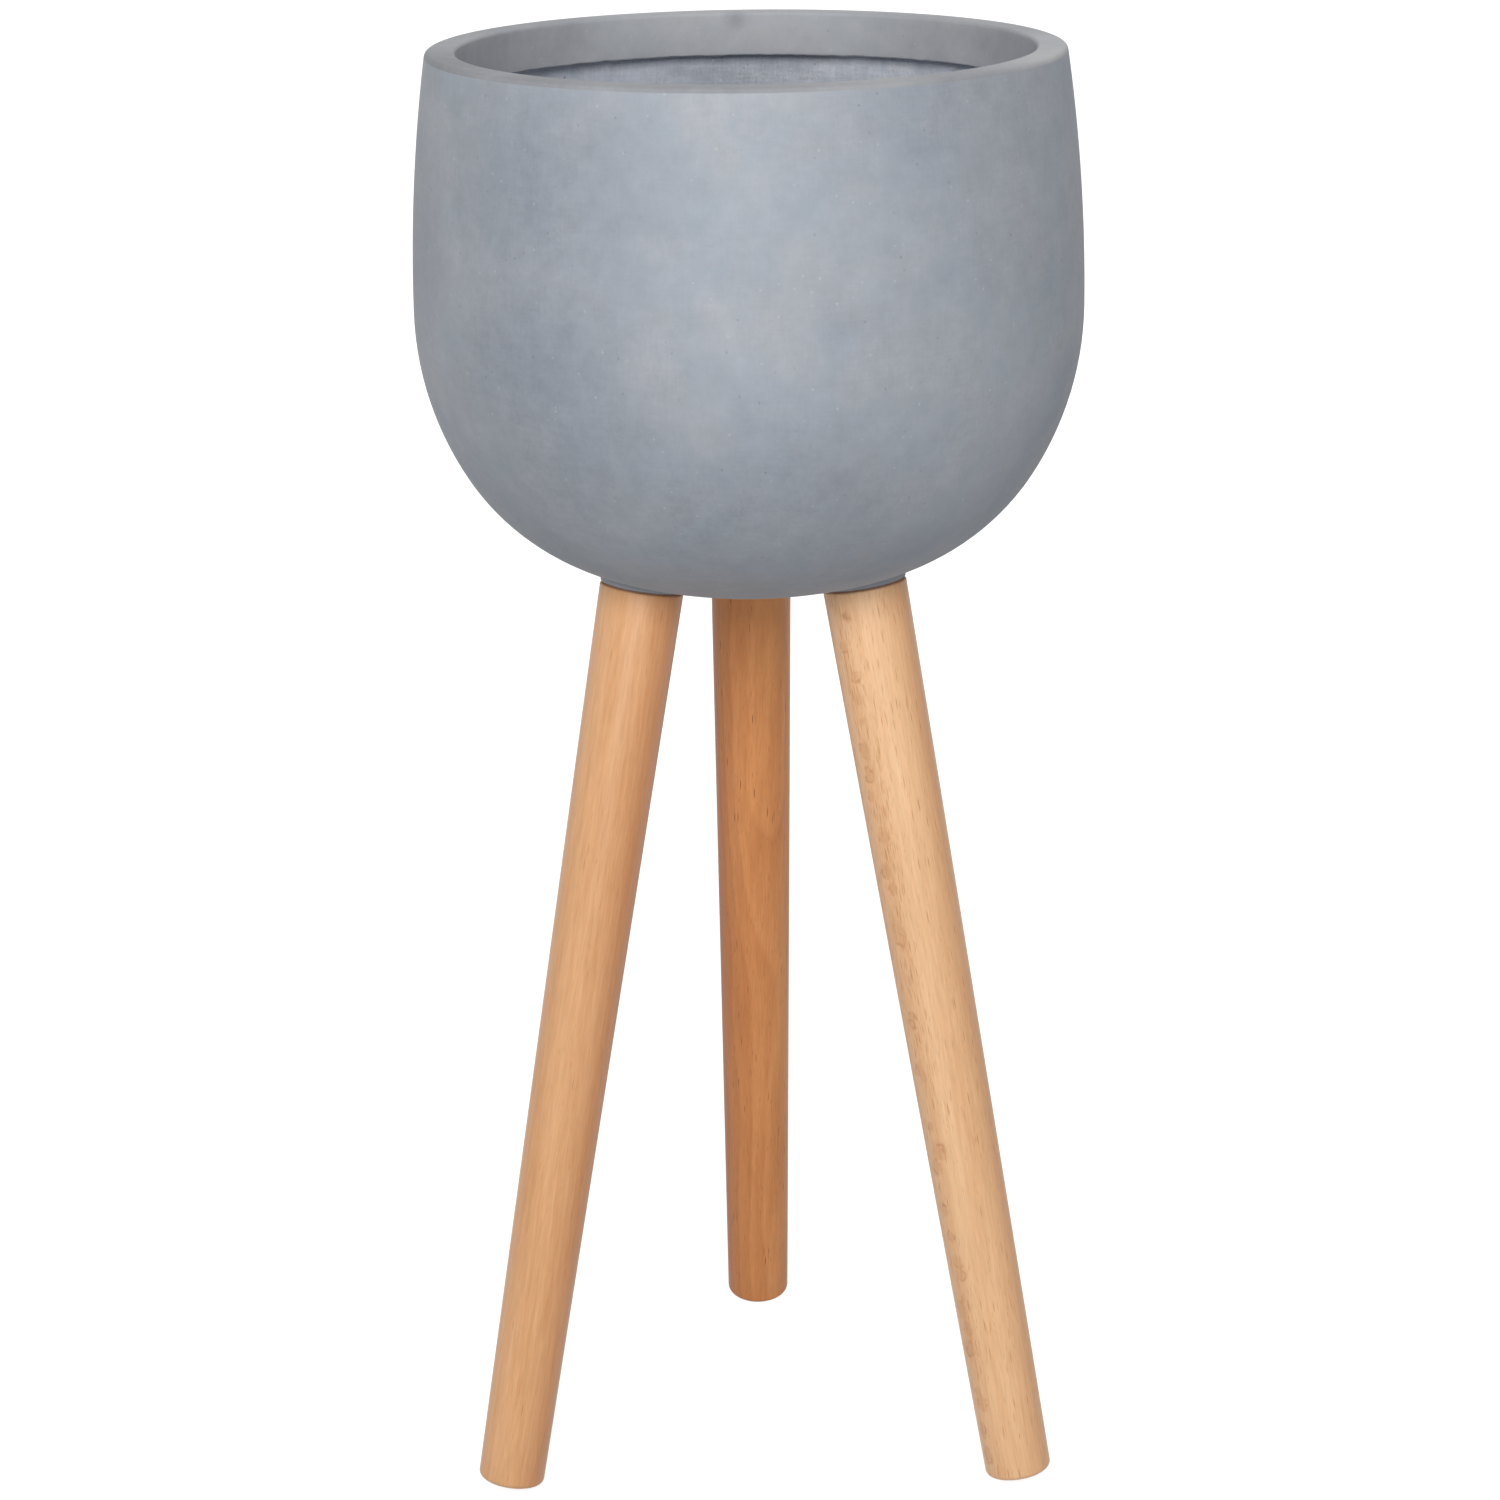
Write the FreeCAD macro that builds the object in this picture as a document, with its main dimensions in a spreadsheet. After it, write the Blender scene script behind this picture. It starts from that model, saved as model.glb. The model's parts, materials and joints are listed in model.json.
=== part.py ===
import FreeCAD, Part
import math
import os

import Sketcher

# Planter on three splayed legs.
# A round bowl is cast in one piece, with a thick inward lip, three leg seats under it
# and three level pads inside it. A threaded insert is cast into each pad. A turned leg
# carries a hanger bolt in its top, and screws up into its insert against a thin washer.
# A bung closes the drain hole in the middle of the floor of the bowl.
# The origin is on the floor, under the middle of the bowl. +Z is up. The rear leg is at +Y.

# Driving sizes, in millimetres and degrees
SIZES = {
    # the bowl
    "total_height": 796.0,
    "bowl_width": 360.0,
    "rim_set_in": 10.5,
    "lip_width": 16.0,
    "belly_drop": 137.5,
    "wall": 10.0,
    "lip_depth": 24.0,
    "undercut_rise": 5.0,
    "rim_outer_round": 3.0,
    "rim_inner_round": 2.0,
    "base_flat_width": 36.0,
    "shoulder_turn": 32.0,
    "flank_turn": 70.0,
    "shoulder_radius_share": 0.928,
    "flank_radius_share": 0.694,
    # where the legs meet the bowl
    "seat_circle_width": 138.8,
    "seat_stand": 0.3,
    "leg_splay_angle": 10.77,
    "pad_cover": 6.0,
    # the legs
    "leg_top_width": 45.7,
    "leg_foot_width": 37.1,
    "leg_top_round": 1.0,
    "leg_foot_round": 3.0,
    # the washers between the legs and their seats
    "washer_thickness": 1.0,
    "washer_inset": 0.8,
    "washer_hole_clearance": 0.3,
    # the hanger bolts
    "thread_width": 8.0,
    "thread_reach": 20.0,
    "wood_thread_length": 40.0,
    "bolt_point_length": 4.0,
    "bolt_point_width": 1.6,
    "bolt_end_chamfer": 1.0,
    "wood_clearance": 0.02,
    # the threaded inserts
    "thread_clearance": 0.08,
    "bolt_end_clearance": 1.5,
    "insert_end_wall": 2.5,
    "insert_width": 14.0,
    "insert_flange_width": 20.0,
    "insert_flange_thickness": 3.0,
    # the drain hole and its bung
    "stem_width": 18.0,
    "stem_clearance": 0.1,
    "stem_stand": 2.0,
    "stem_chamfer": 1.5,
    "bung_flange_width": 28.0,
    "bung_flange_thickness": 3.0,
    "bung_flange_round": 1.0,
    "bung_knob_width": 10.0,
    "bung_knob_height": 6.0,
    "bung_knob_round": 1.5,
    # how far a cut runs past what it cuts
    "overrun": 2.0,
}

# Places and sizes that follow from the driving ones
PLACES = {
    # the outline of the bowl, from the belly down: shoulder, flank, base and flat
    "belly_radius": "sizes.bowl_width / 2",
    "belly_height": "sizes.total_height - sizes.belly_drop",
    "rim_radius": "belly_radius - sizes.rim_set_in",
    "mouth_radius": "rim_radius - sizes.lip_width",
    "flat_radius": "sizes.base_flat_width / 2",
    "barrel_radius": "(sizes.rim_set_in ^ 2 + sizes.belly_drop ^ 2) / (2 * sizes.rim_set_in)",
    "shoulder_radius": "belly_radius * sizes.shoulder_radius_share",
    "flank_radius": "belly_radius * sizes.flank_radius_share",
    "shoulder_cos": "cos(sizes.shoulder_turn)",
    "shoulder_sin": "sin(sizes.shoulder_turn)",
    "flank_cos": "cos(sizes.flank_turn)",
    "flank_sin": "sin(sizes.flank_turn)",
    "shoulder_end_radius": "belly_radius - shoulder_radius * (1 - shoulder_cos)",
    "shoulder_end_height": "belly_height - shoulder_radius * shoulder_sin",
    "flank_end_radius": "shoulder_end_radius - flank_radius * (shoulder_cos - flank_cos)",
    "flank_end_height": "shoulder_end_height - flank_radius * (flank_sin - shoulder_sin)",
    "base_radius": "(flank_end_radius - flat_radius) / flank_cos",
    "bottom_height": "flank_end_height - base_radius * (1 - flank_sin)",
    # the same arcs seen from inside, one wall in
    "inner_barrel_radius": "barrel_radius - sizes.wall",
    "inner_shoulder_radius": "shoulder_radius - sizes.wall",
    "inner_flank_radius": "flank_radius - sizes.wall",
    "inner_base_radius": "base_radius - sizes.wall",
    "inner_belly_radius": "belly_radius - sizes.wall",
    "inner_shoulder_end_radius": "shoulder_end_radius - sizes.wall * shoulder_cos",
    "inner_shoulder_end_height": "shoulder_end_height + sizes.wall * shoulder_sin",
    "inner_flank_end_radius": "flank_end_radius - sizes.wall * flank_cos",
    "inner_flank_end_height": "flank_end_height + sizes.wall * flank_sin",
    "floor_height": "bottom_height + sizes.wall",
    "lip_edge_height": "sizes.total_height - sizes.lip_depth",
    "undercut_height": "lip_edge_height - sizes.undercut_rise",
    "undercut_drop": "undercut_height - belly_height",
    "undercut_radius": "belly_radius - barrel_radius"
    " + sqrt(inner_barrel_radius ^ 2 - undercut_drop ^ 2)",
    # a leg seat, square to the leg that it carries and clear of the round shell above it:
    # the shell reaches furthest along the leg where its outline is square to the leg
    "splay_sin": "sin(sizes.leg_splay_angle)",
    "splay_cos": "cos(sizes.leg_splay_angle)",
    "seat_radius": "sizes.seat_circle_width / 2",
    "seat_out": "seat_radius - flat_radius",
    "shell_reach": "base_radius + sizes.seat_stand",
    "seat_height": "bottom_height + base_radius + (seat_out * splay_sin - shell_reach) / splay_cos",
    "leg_top_radius": "sizes.leg_top_width / 2",
    "insert_bore_depth": "sizes.thread_reach + sizes.bolt_end_clearance",
    "insert_length": "insert_bore_depth + sizes.insert_end_wall",
    "pad_height": "seat_height + insert_length * splay_cos + sizes.pad_cover",
    "boss_tilt_rise": "leg_top_radius * splay_sin",
    "boss_length": "(pad_height - seat_height + boss_tilt_rise + sizes.overrun) / splay_cos",
    "trim_radius": "seat_radius + leg_top_radius + sizes.overrun",
    "trim_length": "2 * (boss_tilt_rise + sizes.overrun)",
    # an insert, from its seat up into the pad
    "insert_radius": "sizes.insert_width / 2",
    "insert_bore_radius": "sizes.thread_width / 2 + sizes.thread_clearance",
    "insert_flange_radius": "sizes.insert_flange_width / 2",
    "insert_flange_start": "insert_length - sizes.insert_flange_thickness",
    "sleeve_pocket_start": "-sizes.overrun",
    "sleeve_pocket_length": "insert_length + sizes.overrun",
    # a leg, from its foot up, with its lowest edge on the floor
    "leg_foot_radius": "sizes.leg_foot_width / 2",
    "foot_height": "(leg_foot_radius - sizes.leg_foot_round) * splay_sin"
    " + sizes.leg_foot_round * (1 - splay_cos)",
    "leg_length": "(seat_height - foot_height) / splay_cos - sizes.washer_thickness",
    "leg_drop": "-leg_length - sizes.washer_thickness",
    # a hanger bolt, from its point up
    "thread_radius": "sizes.thread_width / 2",
    "bolt_length": "sizes.wood_thread_length + sizes.washer_thickness + sizes.thread_reach",
    "bolt_drop": "-sizes.wood_thread_length - sizes.washer_thickness",
    "bolt_point_radius": "sizes.bolt_point_width / 2",
    "bolt_chamfer_start": "bolt_length - sizes.bolt_end_chamfer",
    "bolt_end_radius": "thread_radius - sizes.bolt_end_chamfer",
    "pilot_radius": "thread_radius + sizes.wood_clearance",
    "pilot_start": "leg_length - sizes.wood_thread_length",
    "pilot_length": "sizes.wood_thread_length + sizes.overrun",
    # a washer, from the top of its leg up
    "washer_radius": "leg_top_radius - sizes.washer_inset",
    "washer_hole_radius": "thread_radius + sizes.washer_hole_clearance",
    "washer_drop": "-sizes.washer_thickness",
    # the drain hole and the bung, from the end of its stem up
    "stem_radius": "sizes.stem_width / 2",
    "drain_radius": "stem_radius + sizes.stem_clearance",
    "drain_start": "bottom_height - sizes.overrun",
    "drain_length": "sizes.wall + 2 * sizes.overrun",
    "stem_end_radius": "stem_radius - sizes.stem_chamfer",
    "stem_length": "sizes.wall + sizes.stem_stand",
    "stem_start": "bottom_height - sizes.stem_stand",
    "bung_flange_radius": "sizes.bung_flange_width / 2",
    "bung_flange_top": "stem_length + sizes.bung_flange_thickness",
    "bung_knob_radius": "sizes.bung_knob_width / 2",
    "bung_knob_top": "bung_flange_top + sizes.bung_knob_height",
}

# The legs stand evenly round the middle of the bowl, from the rear one on
LEG_NAMES = ("rear", "front_left", "front_right")
FULL_TURN = 360.0
LEG_ANGLES = {name: FULL_TURN * index / len(LEG_NAMES) for index, name in enumerate(LEG_NAMES)}

doc = FreeCAD.newDocument("planter")


def fill_sheet(name, cells):
    """A spreadsheet with one named cell a row."""
    sheet = doc.addObject("Spreadsheet::Sheet", name)
    for row, (alias, content) in enumerate(cells.items(), start=1):
        sheet.set(f"A{row}", alias)
        sheet.set(f"B{row}", content)
        sheet.setAlias(f"B{row}", alias)
    return sheet


sizes = fill_sheet("sizes", {alias: repr(number) for alias, number in SIZES.items()})
doc.recompute()
places = fill_sheet("places", {alias: "=" + formula for alias, formula in PLACES.items()})
doc.recompute()


def amount(name):
    """What a named cell of either sheet holds."""
    sheet = sizes if name in SIZES else places
    return float(sheet.get(name))


def cell(name):
    """A named cell, as an expression reads it."""
    sheet = sizes if name in SIZES else places
    return f"{sheet.Name}.{name}"


def origin_feature(body, role):
    """One of a body's own planes or axes."""
    return next(part for part in body.Origin.OriginFeatures if part.Role == role)


def new_body(name):
    body = doc.addObject("PartDesign::Body", name)
    body.Label = name
    return body


def new_sketch(body, name, plane):
    sketch = body.newObject("Sketcher::SketchObject", name)
    sketch.AttachmentSupport = [(origin_feature(body, plane), "")]
    sketch.MapMode = "FlatFace"
    return sketch


def bind(sketch, kind, first, second, name):
    """One driving dimension of a sketch, tied to a named cell."""
    number = sketch.addConstraint(Sketcher.Constraint(kind, *first, *second, amount(name)))
    sketch.setExpression(f"Constraints[{number}]", cell(name))


def point(corner):
    """Where a corner of an outline lies. None stands for zero."""
    across, up = (0.0 if name is None else amount(name) for name in corner)
    return FreeCAD.Vector(across, up, 0)


def arc_between(start, end, radius, centre_side):
    """An arc from start to end, with its centre to the left (1) or right (-1) of that way."""
    chord = end - start
    middle = (start + end) / 2
    left = FreeCAD.Vector(-chord.y, chord.x, 0).normalize()
    reach = math.sqrt(max(radius ** 2 - (chord.Length / 2) ** 2, 0))
    centre = middle + left * (centre_side * reach)
    start_angle = math.atan2(start.y - centre.y, start.x - centre.x)
    end_angle = math.atan2(end.y - centre.y, end.x - centre.x)
    if centre_side < 0:
        start_angle, end_angle = end_angle, start_angle
    circle = Part.Circle(centre, FreeCAD.Vector(0, 0, 1), radius)
    return Part.ArcOfCircle(circle, start_angle, end_angle)


def half_section(body, name, outline):
    """A closed half section to be turned about the upright axis.

    Each entry of the outline is a corner, given by the names of its distance from the
    axis and of its height, and the way on from there: None for a straight line, or the
    name of an arc's radius with the side of its centre."""
    sketch = new_sketch(body, name, "XZ_Plane")
    ends = []
    for index, (corner, way) in enumerate(outline):
        start = point(corner)
        end = point(outline[(index + 1) % len(outline)][0])
        if way is None:
            piece = sketch.addGeometry(Part.LineSegment(start, end), False)
            ends.append(((piece, 1), (piece, 2)))
            continue
        radius, side = way
        piece = sketch.addGeometry(arc_between(start, end, amount(radius), side), False)
        ends.append(((piece, 1), (piece, 2)) if side > 0 else ((piece, 2), (piece, 1)))
        bind(sketch, "Radius", (piece,), (), radius)
    for index, (corner, way) in enumerate(outline):
        here = ends[index][0]
        before = ends[index - 1][1]
        sketch.addConstraint(Sketcher.Constraint("Coincident", *before, *here))
        across, up = corner
        if across is None:
            sketch.addConstraint(Sketcher.Constraint("PointOnObject", *here, -2))
        else:
            bind(sketch, "DistanceX", (-1, 1), here, across)
        if up is None:
            sketch.addConstraint(Sketcher.Constraint("PointOnObject", *here, -1))
        else:
            bind(sketch, "DistanceY", (-1, 1), here, up)
    return sketch


def turned(body, name, outline):
    """A solid of revolution about the body's upright axis."""
    sketch = half_section(body, f"{name}_section", outline)
    solid = body.newObject("PartDesign::Revolution", name)
    solid.Profile = sketch
    solid.ReferenceAxis = (sketch, ["V_Axis"])
    solid.Angle = FULL_TURN
    sketch.Visibility = False
    doc.recompute()
    return solid


def circle_edge(feature, radius, height):
    """The name of the round edge of that radius and height about the upright axis."""
    near = 1e-4
    for index, edge in enumerate(feature.Shape.Edges, start=1):
        if not isinstance(edge.Curve, Part.Circle):
            continue
        off = abs(edge.Curve.Radius - radius) + abs(edge.Curve.Center.z - height)
        if off < near:
            return f"Edge{index}"
    raise ValueError(f"{feature.Name} has no round edge at {radius:.3f}, {height:.3f}")


def rounded(body, name, radius, height, size):
    """A fillet on one round edge of the body as it stands."""
    base = body.Tip
    fillet = body.newObject("PartDesign::Fillet", name)
    fillet.Base = (base, [circle_edge(base, amount(radius), amount(height))])
    fillet.Radius = amount(size)
    fillet.setExpression("Radius", cell(size))
    doc.recompute()
    return fillet


def rod(body, kind, name, radius, length, placement):
    """A cylinder added to the body or cut from it."""
    cylinder = body.newObject(f"PartDesign::{kind}Cylinder", name)
    cylinder.setExpression("Radius", cell(radius))
    cylinder.setExpression("Height", cell(length))
    cylinder.setExpression("Placement", placement)
    doc.recompute()
    return cylinder


def round_the_axis(body, name, features):
    """The same features once for each leg."""
    pattern = body.newObject("PartDesign::PolarPattern", name)
    pattern.Originals = features
    pattern.Axis = (origin_feature(body, "Z_Axis"), [""])
    pattern.Angle = FULL_TURN
    pattern.Occurrences = len(LEG_NAMES)
    body.Tip = pattern
    doc.recompute()
    return pattern


def upright(height):
    """A placement on the upright axis at a named height."""
    return f"placement(vector(0; 0; {height}); rotation(vector(0; 0; 1); 0))"


def on_leg_axis(turn, offset):
    """A placement on a leg's axis: the distance is from the seat, and positive is up."""
    about = f"placement(vector(0; 0; 0); rotation(vector(0; 0; 1); {turn}))"
    seat = f"vector(0; {cell('seat_radius')}; {cell('seat_height')})"
    lean = f"placement({seat}; rotation(vector(1; 0; 0); {cell('leg_splay_angle')}))"
    return f"{about} * {lean} * {upright(offset)}"


def make_bowl():
    """The casting: shell, lip, leg seats, inner pads, insert pockets and drain hole."""
    bowl = new_body("bowl")
    turned(bowl, "bowl_shell", [
        ((None, "bottom_height"), None),
        (("flat_radius", "bottom_height"), ("base_radius", 1)),
        (("flank_end_radius", "flank_end_height"), ("flank_radius", 1)),
        (("shoulder_end_radius", "shoulder_end_height"), ("shoulder_radius", 1)),
        (("belly_radius", "belly_height"), ("barrel_radius", 1)),
        (("rim_radius", "total_height"), None),
        (("mouth_radius", "total_height"), None),
        (("mouth_radius", "lip_edge_height"), None),
        (("undercut_radius", "undercut_height"), ("inner_barrel_radius", -1)),
        (("inner_belly_radius", "belly_height"), ("inner_shoulder_radius", -1)),
        (("inner_shoulder_end_radius", "inner_shoulder_end_height"), ("inner_flank_radius", -1)),
        (("inner_flank_end_radius", "inner_flank_end_height"), ("inner_base_radius", -1)),
        (("flat_radius", "floor_height"), None),
        ((None, "floor_height"), None),
    ])
    rounded(bowl, "rim_outer_edge", "rim_radius", "total_height", "rim_outer_round")
    rounded(bowl, "rim_inner_edge", "mouth_radius", "total_height", "rim_inner_round")

    # Each boss runs along its leg's axis, from a flat seat up into the bowl
    boss = rod(bowl, "Additive", "leg_boss", "leg_top_radius", "boss_length", on_leg_axis(0, 0))
    round_the_axis(bowl, "leg_bosses", [boss])
    level = upright(cell("pad_height"))
    rod(bowl, "Subtractive", "level_pads", "trim_radius", "trim_length", level)

    # The insert fills its pocket, and its flange locks it in the casting
    sleeve = rod(bowl, "Subtractive", "sleeve_pocket", "insert_radius", "sleeve_pocket_length",
                 on_leg_axis(0, cell("sleeve_pocket_start")))
    round_the_axis(bowl, "sleeve_pockets", [sleeve])
    flange = rod(bowl, "Subtractive", "flange_pocket", "insert_flange_radius",
                 "insert_flange_thickness", on_leg_axis(0, cell("insert_flange_start")))
    round_the_axis(bowl, "flange_pockets", [flange])
    rod(bowl, "Subtractive", "drain_hole", "drain_radius", "drain_length",
        upright(cell("drain_start")))
    return bowl


def make_insert(place, turn):
    """A flanged steel insert, closed at its inner end."""
    insert = new_body(f"threaded_insert_{place}")
    turned(insert, f"insert_{place}_turning", [
        (("insert_bore_radius", None), None),
        (("insert_radius", None), None),
        (("insert_radius", "insert_flange_start"), None),
        (("insert_flange_radius", "insert_flange_start"), None),
        (("insert_flange_radius", "insert_length"), None),
        ((None, "insert_length"), None),
        ((None, "insert_bore_depth"), None),
        (("insert_bore_radius", "insert_bore_depth"), None),
    ])
    insert.setExpression("Placement", on_leg_axis(turn, 0))
    return insert


def make_bolt(place, turn):
    """A hanger bolt: a wood thread with a point below, a machine thread above."""
    bolt = new_body(f"hanger_bolt_{place}")
    turned(bolt, f"bolt_{place}_turning", [
        ((None, None), None),
        (("bolt_point_radius", None), None),
        (("thread_radius", "bolt_point_length"), None),
        (("thread_radius", "bolt_chamfer_start"), None),
        (("bolt_end_radius", "bolt_length"), None),
        ((None, "bolt_length"), None),
    ])
    bolt.setExpression("Placement", on_leg_axis(turn, cell("bolt_drop")))
    return bolt


def make_washer(place, turn):
    """A thin flat washer, a little smaller than the top of the leg."""
    washer = new_body(f"leg_washer_{place}")
    sketch = new_sketch(washer, f"washer_{place}_outline", "XY_Plane")
    for radius in ("washer_radius", "washer_hole_radius"):
        circle = Part.Circle(FreeCAD.Vector(0, 0, 0), FreeCAD.Vector(0, 0, 1), amount(radius))
        ring = sketch.addGeometry(circle, False)
        sketch.addConstraint(Sketcher.Constraint("Coincident", ring, 3, -1, 1))
        bind(sketch, "Radius", (ring,), (), radius)
    disc = washer.newObject("PartDesign::Pad", f"washer_{place}_disc")
    disc.Profile = sketch
    disc.setExpression("Length", cell("washer_thickness"))
    sketch.Visibility = False
    washer.setExpression("Placement", on_leg_axis(turn, cell("washer_drop")))
    return washer


def make_leg(place, turn):
    """A tapered turned leg, cut square at both ends and drilled for its bolt."""
    leg = new_body(f"leg_{place}")
    turned(leg, f"leg_{place}_turning", [
        ((None, None), None),
        (("leg_foot_radius", None), None),
        (("leg_top_radius", "leg_length"), None),
        ((None, "leg_length"), None),
    ])
    base = leg.Tip
    foot = circle_edge(base, amount("leg_foot_radius"), 0)
    fillet = leg.newObject("PartDesign::Fillet", f"leg_{place}_foot_edge")
    fillet.Base = (base, [foot])
    fillet.Radius = amount("leg_foot_round")
    fillet.setExpression("Radius", cell("leg_foot_round"))
    doc.recompute()
    rounded(leg, f"leg_{place}_top_edge", "leg_top_radius", "leg_length", "leg_top_round")
    rod(leg, "Subtractive", f"leg_{place}_pilot_hole", "pilot_radius", "pilot_length",
        upright(cell("pilot_start")))
    leg.setExpression("Placement", on_leg_axis(turn, cell("leg_drop")))
    return leg


def make_bung():
    """A rubber bung: a stem in the drain hole, a flange on the floor, a knob to pull."""
    bung = new_body("drain_bung")
    turned(bung, "bung_moulding", [
        ((None, None), None),
        (("stem_end_radius", None), None),
        (("stem_radius", "stem_chamfer"), None),
        (("stem_radius", "stem_length"), None),
        (("bung_flange_radius", "stem_length"), None),
        (("bung_flange_radius", "bung_flange_top"), None),
        (("bung_knob_radius", "bung_flange_top"), None),
        (("bung_knob_radius", "bung_knob_top"), None),
        ((None, "bung_knob_top"), None),
    ])
    rounded(bung, "bung_flange_edge", "bung_flange_radius", "bung_flange_top",
            "bung_flange_round")
    rounded(bung, "bung_knob_edge", "bung_knob_radius", "bung_knob_top", "bung_knob_round")
    bung.setExpression("Placement", upright(cell("stem_start")))
    return bung


nodes = [make_bowl(), make_bung()]
for place, turn in LEG_ANGLES.items():
    nodes += [
        make_insert(place, turn),
        make_washer(place, turn),
        make_bolt(place, turn),
        make_leg(place, turn),
    ]
doc.recompute()

# Everything has to be sound before anything is written
for item in doc.Objects:
    if "Invalid" in item.State or "Error" in item.State:
        raise RuntimeError(f"{item.Label} failed: {item.State}")
for node in nodes:
    if node.Shape.isNull() or not node.Shape.isValid() or len(node.Shape.Solids) != 1:
        raise RuntimeError(f"{node.Label} is not one sound solid")

os.makedirs("parts", exist_ok=True)
for node in nodes:
    node.Shape.exportStep(f"parts/{node.Label}.step")
    box = node.Shape.BoundBox
    print(f"{node.Label}: {node.Shape.Volume / 1000:.1f} cm3, height {box.ZMin:.2f} to {box.ZMax:.2f}")
print(f"leg length {amount('leg_length'):.2f}, bottom of the bowl {amount('bottom_height'):.2f}")
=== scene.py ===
# %% [markdown]
# A planter on three legs, dressed for its picture.
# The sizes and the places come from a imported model, the frame. This file gives each piece
# of it a finely modelled twin and a finish, and then sets up floor, light and camera.
# All lengths are in metres. The origin is on the floor under the middle of the bowl, +Z is
# up, and the rear leg stands at +Y.

# %% Load the frame
import json
import math

import bpy
from mathutils import Euler, Matrix, Vector


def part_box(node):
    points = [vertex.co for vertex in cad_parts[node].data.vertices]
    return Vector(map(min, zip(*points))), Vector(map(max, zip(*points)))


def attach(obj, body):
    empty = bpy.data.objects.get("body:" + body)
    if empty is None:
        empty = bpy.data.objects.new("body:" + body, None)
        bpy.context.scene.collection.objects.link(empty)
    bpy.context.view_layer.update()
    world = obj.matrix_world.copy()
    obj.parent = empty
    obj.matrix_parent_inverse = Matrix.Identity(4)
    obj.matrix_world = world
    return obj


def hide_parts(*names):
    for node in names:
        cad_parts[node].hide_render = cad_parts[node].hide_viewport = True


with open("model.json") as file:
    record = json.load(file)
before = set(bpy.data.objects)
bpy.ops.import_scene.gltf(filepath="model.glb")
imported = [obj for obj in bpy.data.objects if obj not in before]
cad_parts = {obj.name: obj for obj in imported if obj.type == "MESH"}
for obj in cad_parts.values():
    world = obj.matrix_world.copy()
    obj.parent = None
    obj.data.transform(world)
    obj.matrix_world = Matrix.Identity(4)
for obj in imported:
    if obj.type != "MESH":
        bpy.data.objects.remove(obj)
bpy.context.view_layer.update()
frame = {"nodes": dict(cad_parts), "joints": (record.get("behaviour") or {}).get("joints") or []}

print("pieces in the frame:", ", ".join(sorted(frame["nodes"])))

# %% [markdown]
# The driving sizes.
# The bowl's height and width are read from the frame, and so are the place, the lean and the
# length of each leg. The rest are the sizes that a maker would note beside the drawing. The
# rim keeps a spare of two microns, so that no rounding lifts it past the frame.

# %% Sizes of the bowl
bowl_low, bowl_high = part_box("bowl")
SPARE = 0.000002
RIM_HEIGHT = bowl_high.z - SPARE
BOTTOM_HEIGHT = bowl_low.z
BELLY_RADIUS = bowl_high.x
BELLY_DROP = 0.1375
RIM_SET_IN = 0.0105
LIP_WIDTH = 0.016
LIP_DEPTH = 0.024
UNDERCUT_RISE = 0.0012
WALL = 0.010
RIM_OUTER_ROUND = 0.003
RIM_INNER_ROUND = 0.002
LIP_EDGE_ROUND = 0.001
FLAT_RADIUS = 0.018
SHOULDER_TURN = 32.0
FLANK_TURN = 70.0
SHOULDER_RADIUS_SHARE = 0.928
FLANK_RADIUS_SHARE = 0.694
DRAIN_RADIUS = 0.0091
DRAIN_EDGE_ROUND = 0.0008
print(f"bowl {2 * BELLY_RADIUS:.3f} wide, from {BOTTOM_HEIGHT:.4f} to {RIM_HEIGHT:.3f}")

# %% Sizes of the legs and their fastenings
LEG_NAMES = ("rear", "front_left", "front_right")
LEG_TOP_RADIUS = 0.02285
LEG_FOOT_RADIUS = 0.01852
LEG_TOP_ROUND = 0.001
LEG_FOOT_ROUND = 0.003
WASHER_THICKNESS = 0.001
WASHER_RADIUS = 0.02205
WASHER_HOLE_RADIUS = 0.0043
WASHER_EDGE_ROUND = 0.00025
BOLT_RADIUS = 0.004
PILOT_RADIUS = 0.00402
WOOD_THREAD_LENGTH = 0.040
INSERT_RADIUS = 0.007
INSERT_FLANGE_RADIUS = 0.010
INSERT_FLANGE_THICKNESS = 0.003
INSERT_LENGTH = 0.024
INSERT_BORE_DEPTH = 0.0215
PAD_COVER = 0.006

# %% [markdown]
# Where each leg stands.
# The record gives every leg a joint: its point is the middle of the seat and its axis runs
# down the leg. From these comes one matrix for a leg, so that a piece is modelled upright on
# the origin, with its seat at height zero, and then set in place in one move.

# %% Places of the legs
joints = {joint["name"]: joint for joint in frame["joints"]}


def leg_turn_and_splay(leg):
    """How far a leg is turned about the middle of the bowl, and how far it leans out."""
    joint = joints[f"leg_{leg}_unscrew"]
    seat = Vector(joint["pos_m"])
    down = Vector(joint["axis"])
    return math.atan2(-seat.x, seat.y), math.atan2(math.hypot(down.x, down.y), -down.z)


def leg_place(leg):
    """The matrix that sets a piece, modelled upright with its seat at zero, on a leg's axis."""
    turn, splay = leg_turn_and_splay(leg)
    seat = Vector(joints[f"leg_{leg}_unscrew"]["pos_m"])
    return Matrix.Translation(seat) @ Matrix.Rotation(turn, 4, "Z") @ Matrix.Rotation(splay, 4, "X")


def reach_along_leg(node, leg):
    """The lowest and highest point of a frame node, measured along its leg from the seat."""
    back = leg_place(leg).inverted()
    heights = [(back @ vertex.co).z for vertex in frame["nodes"][node].data.vertices]
    return min(heights), max(heights)


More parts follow.
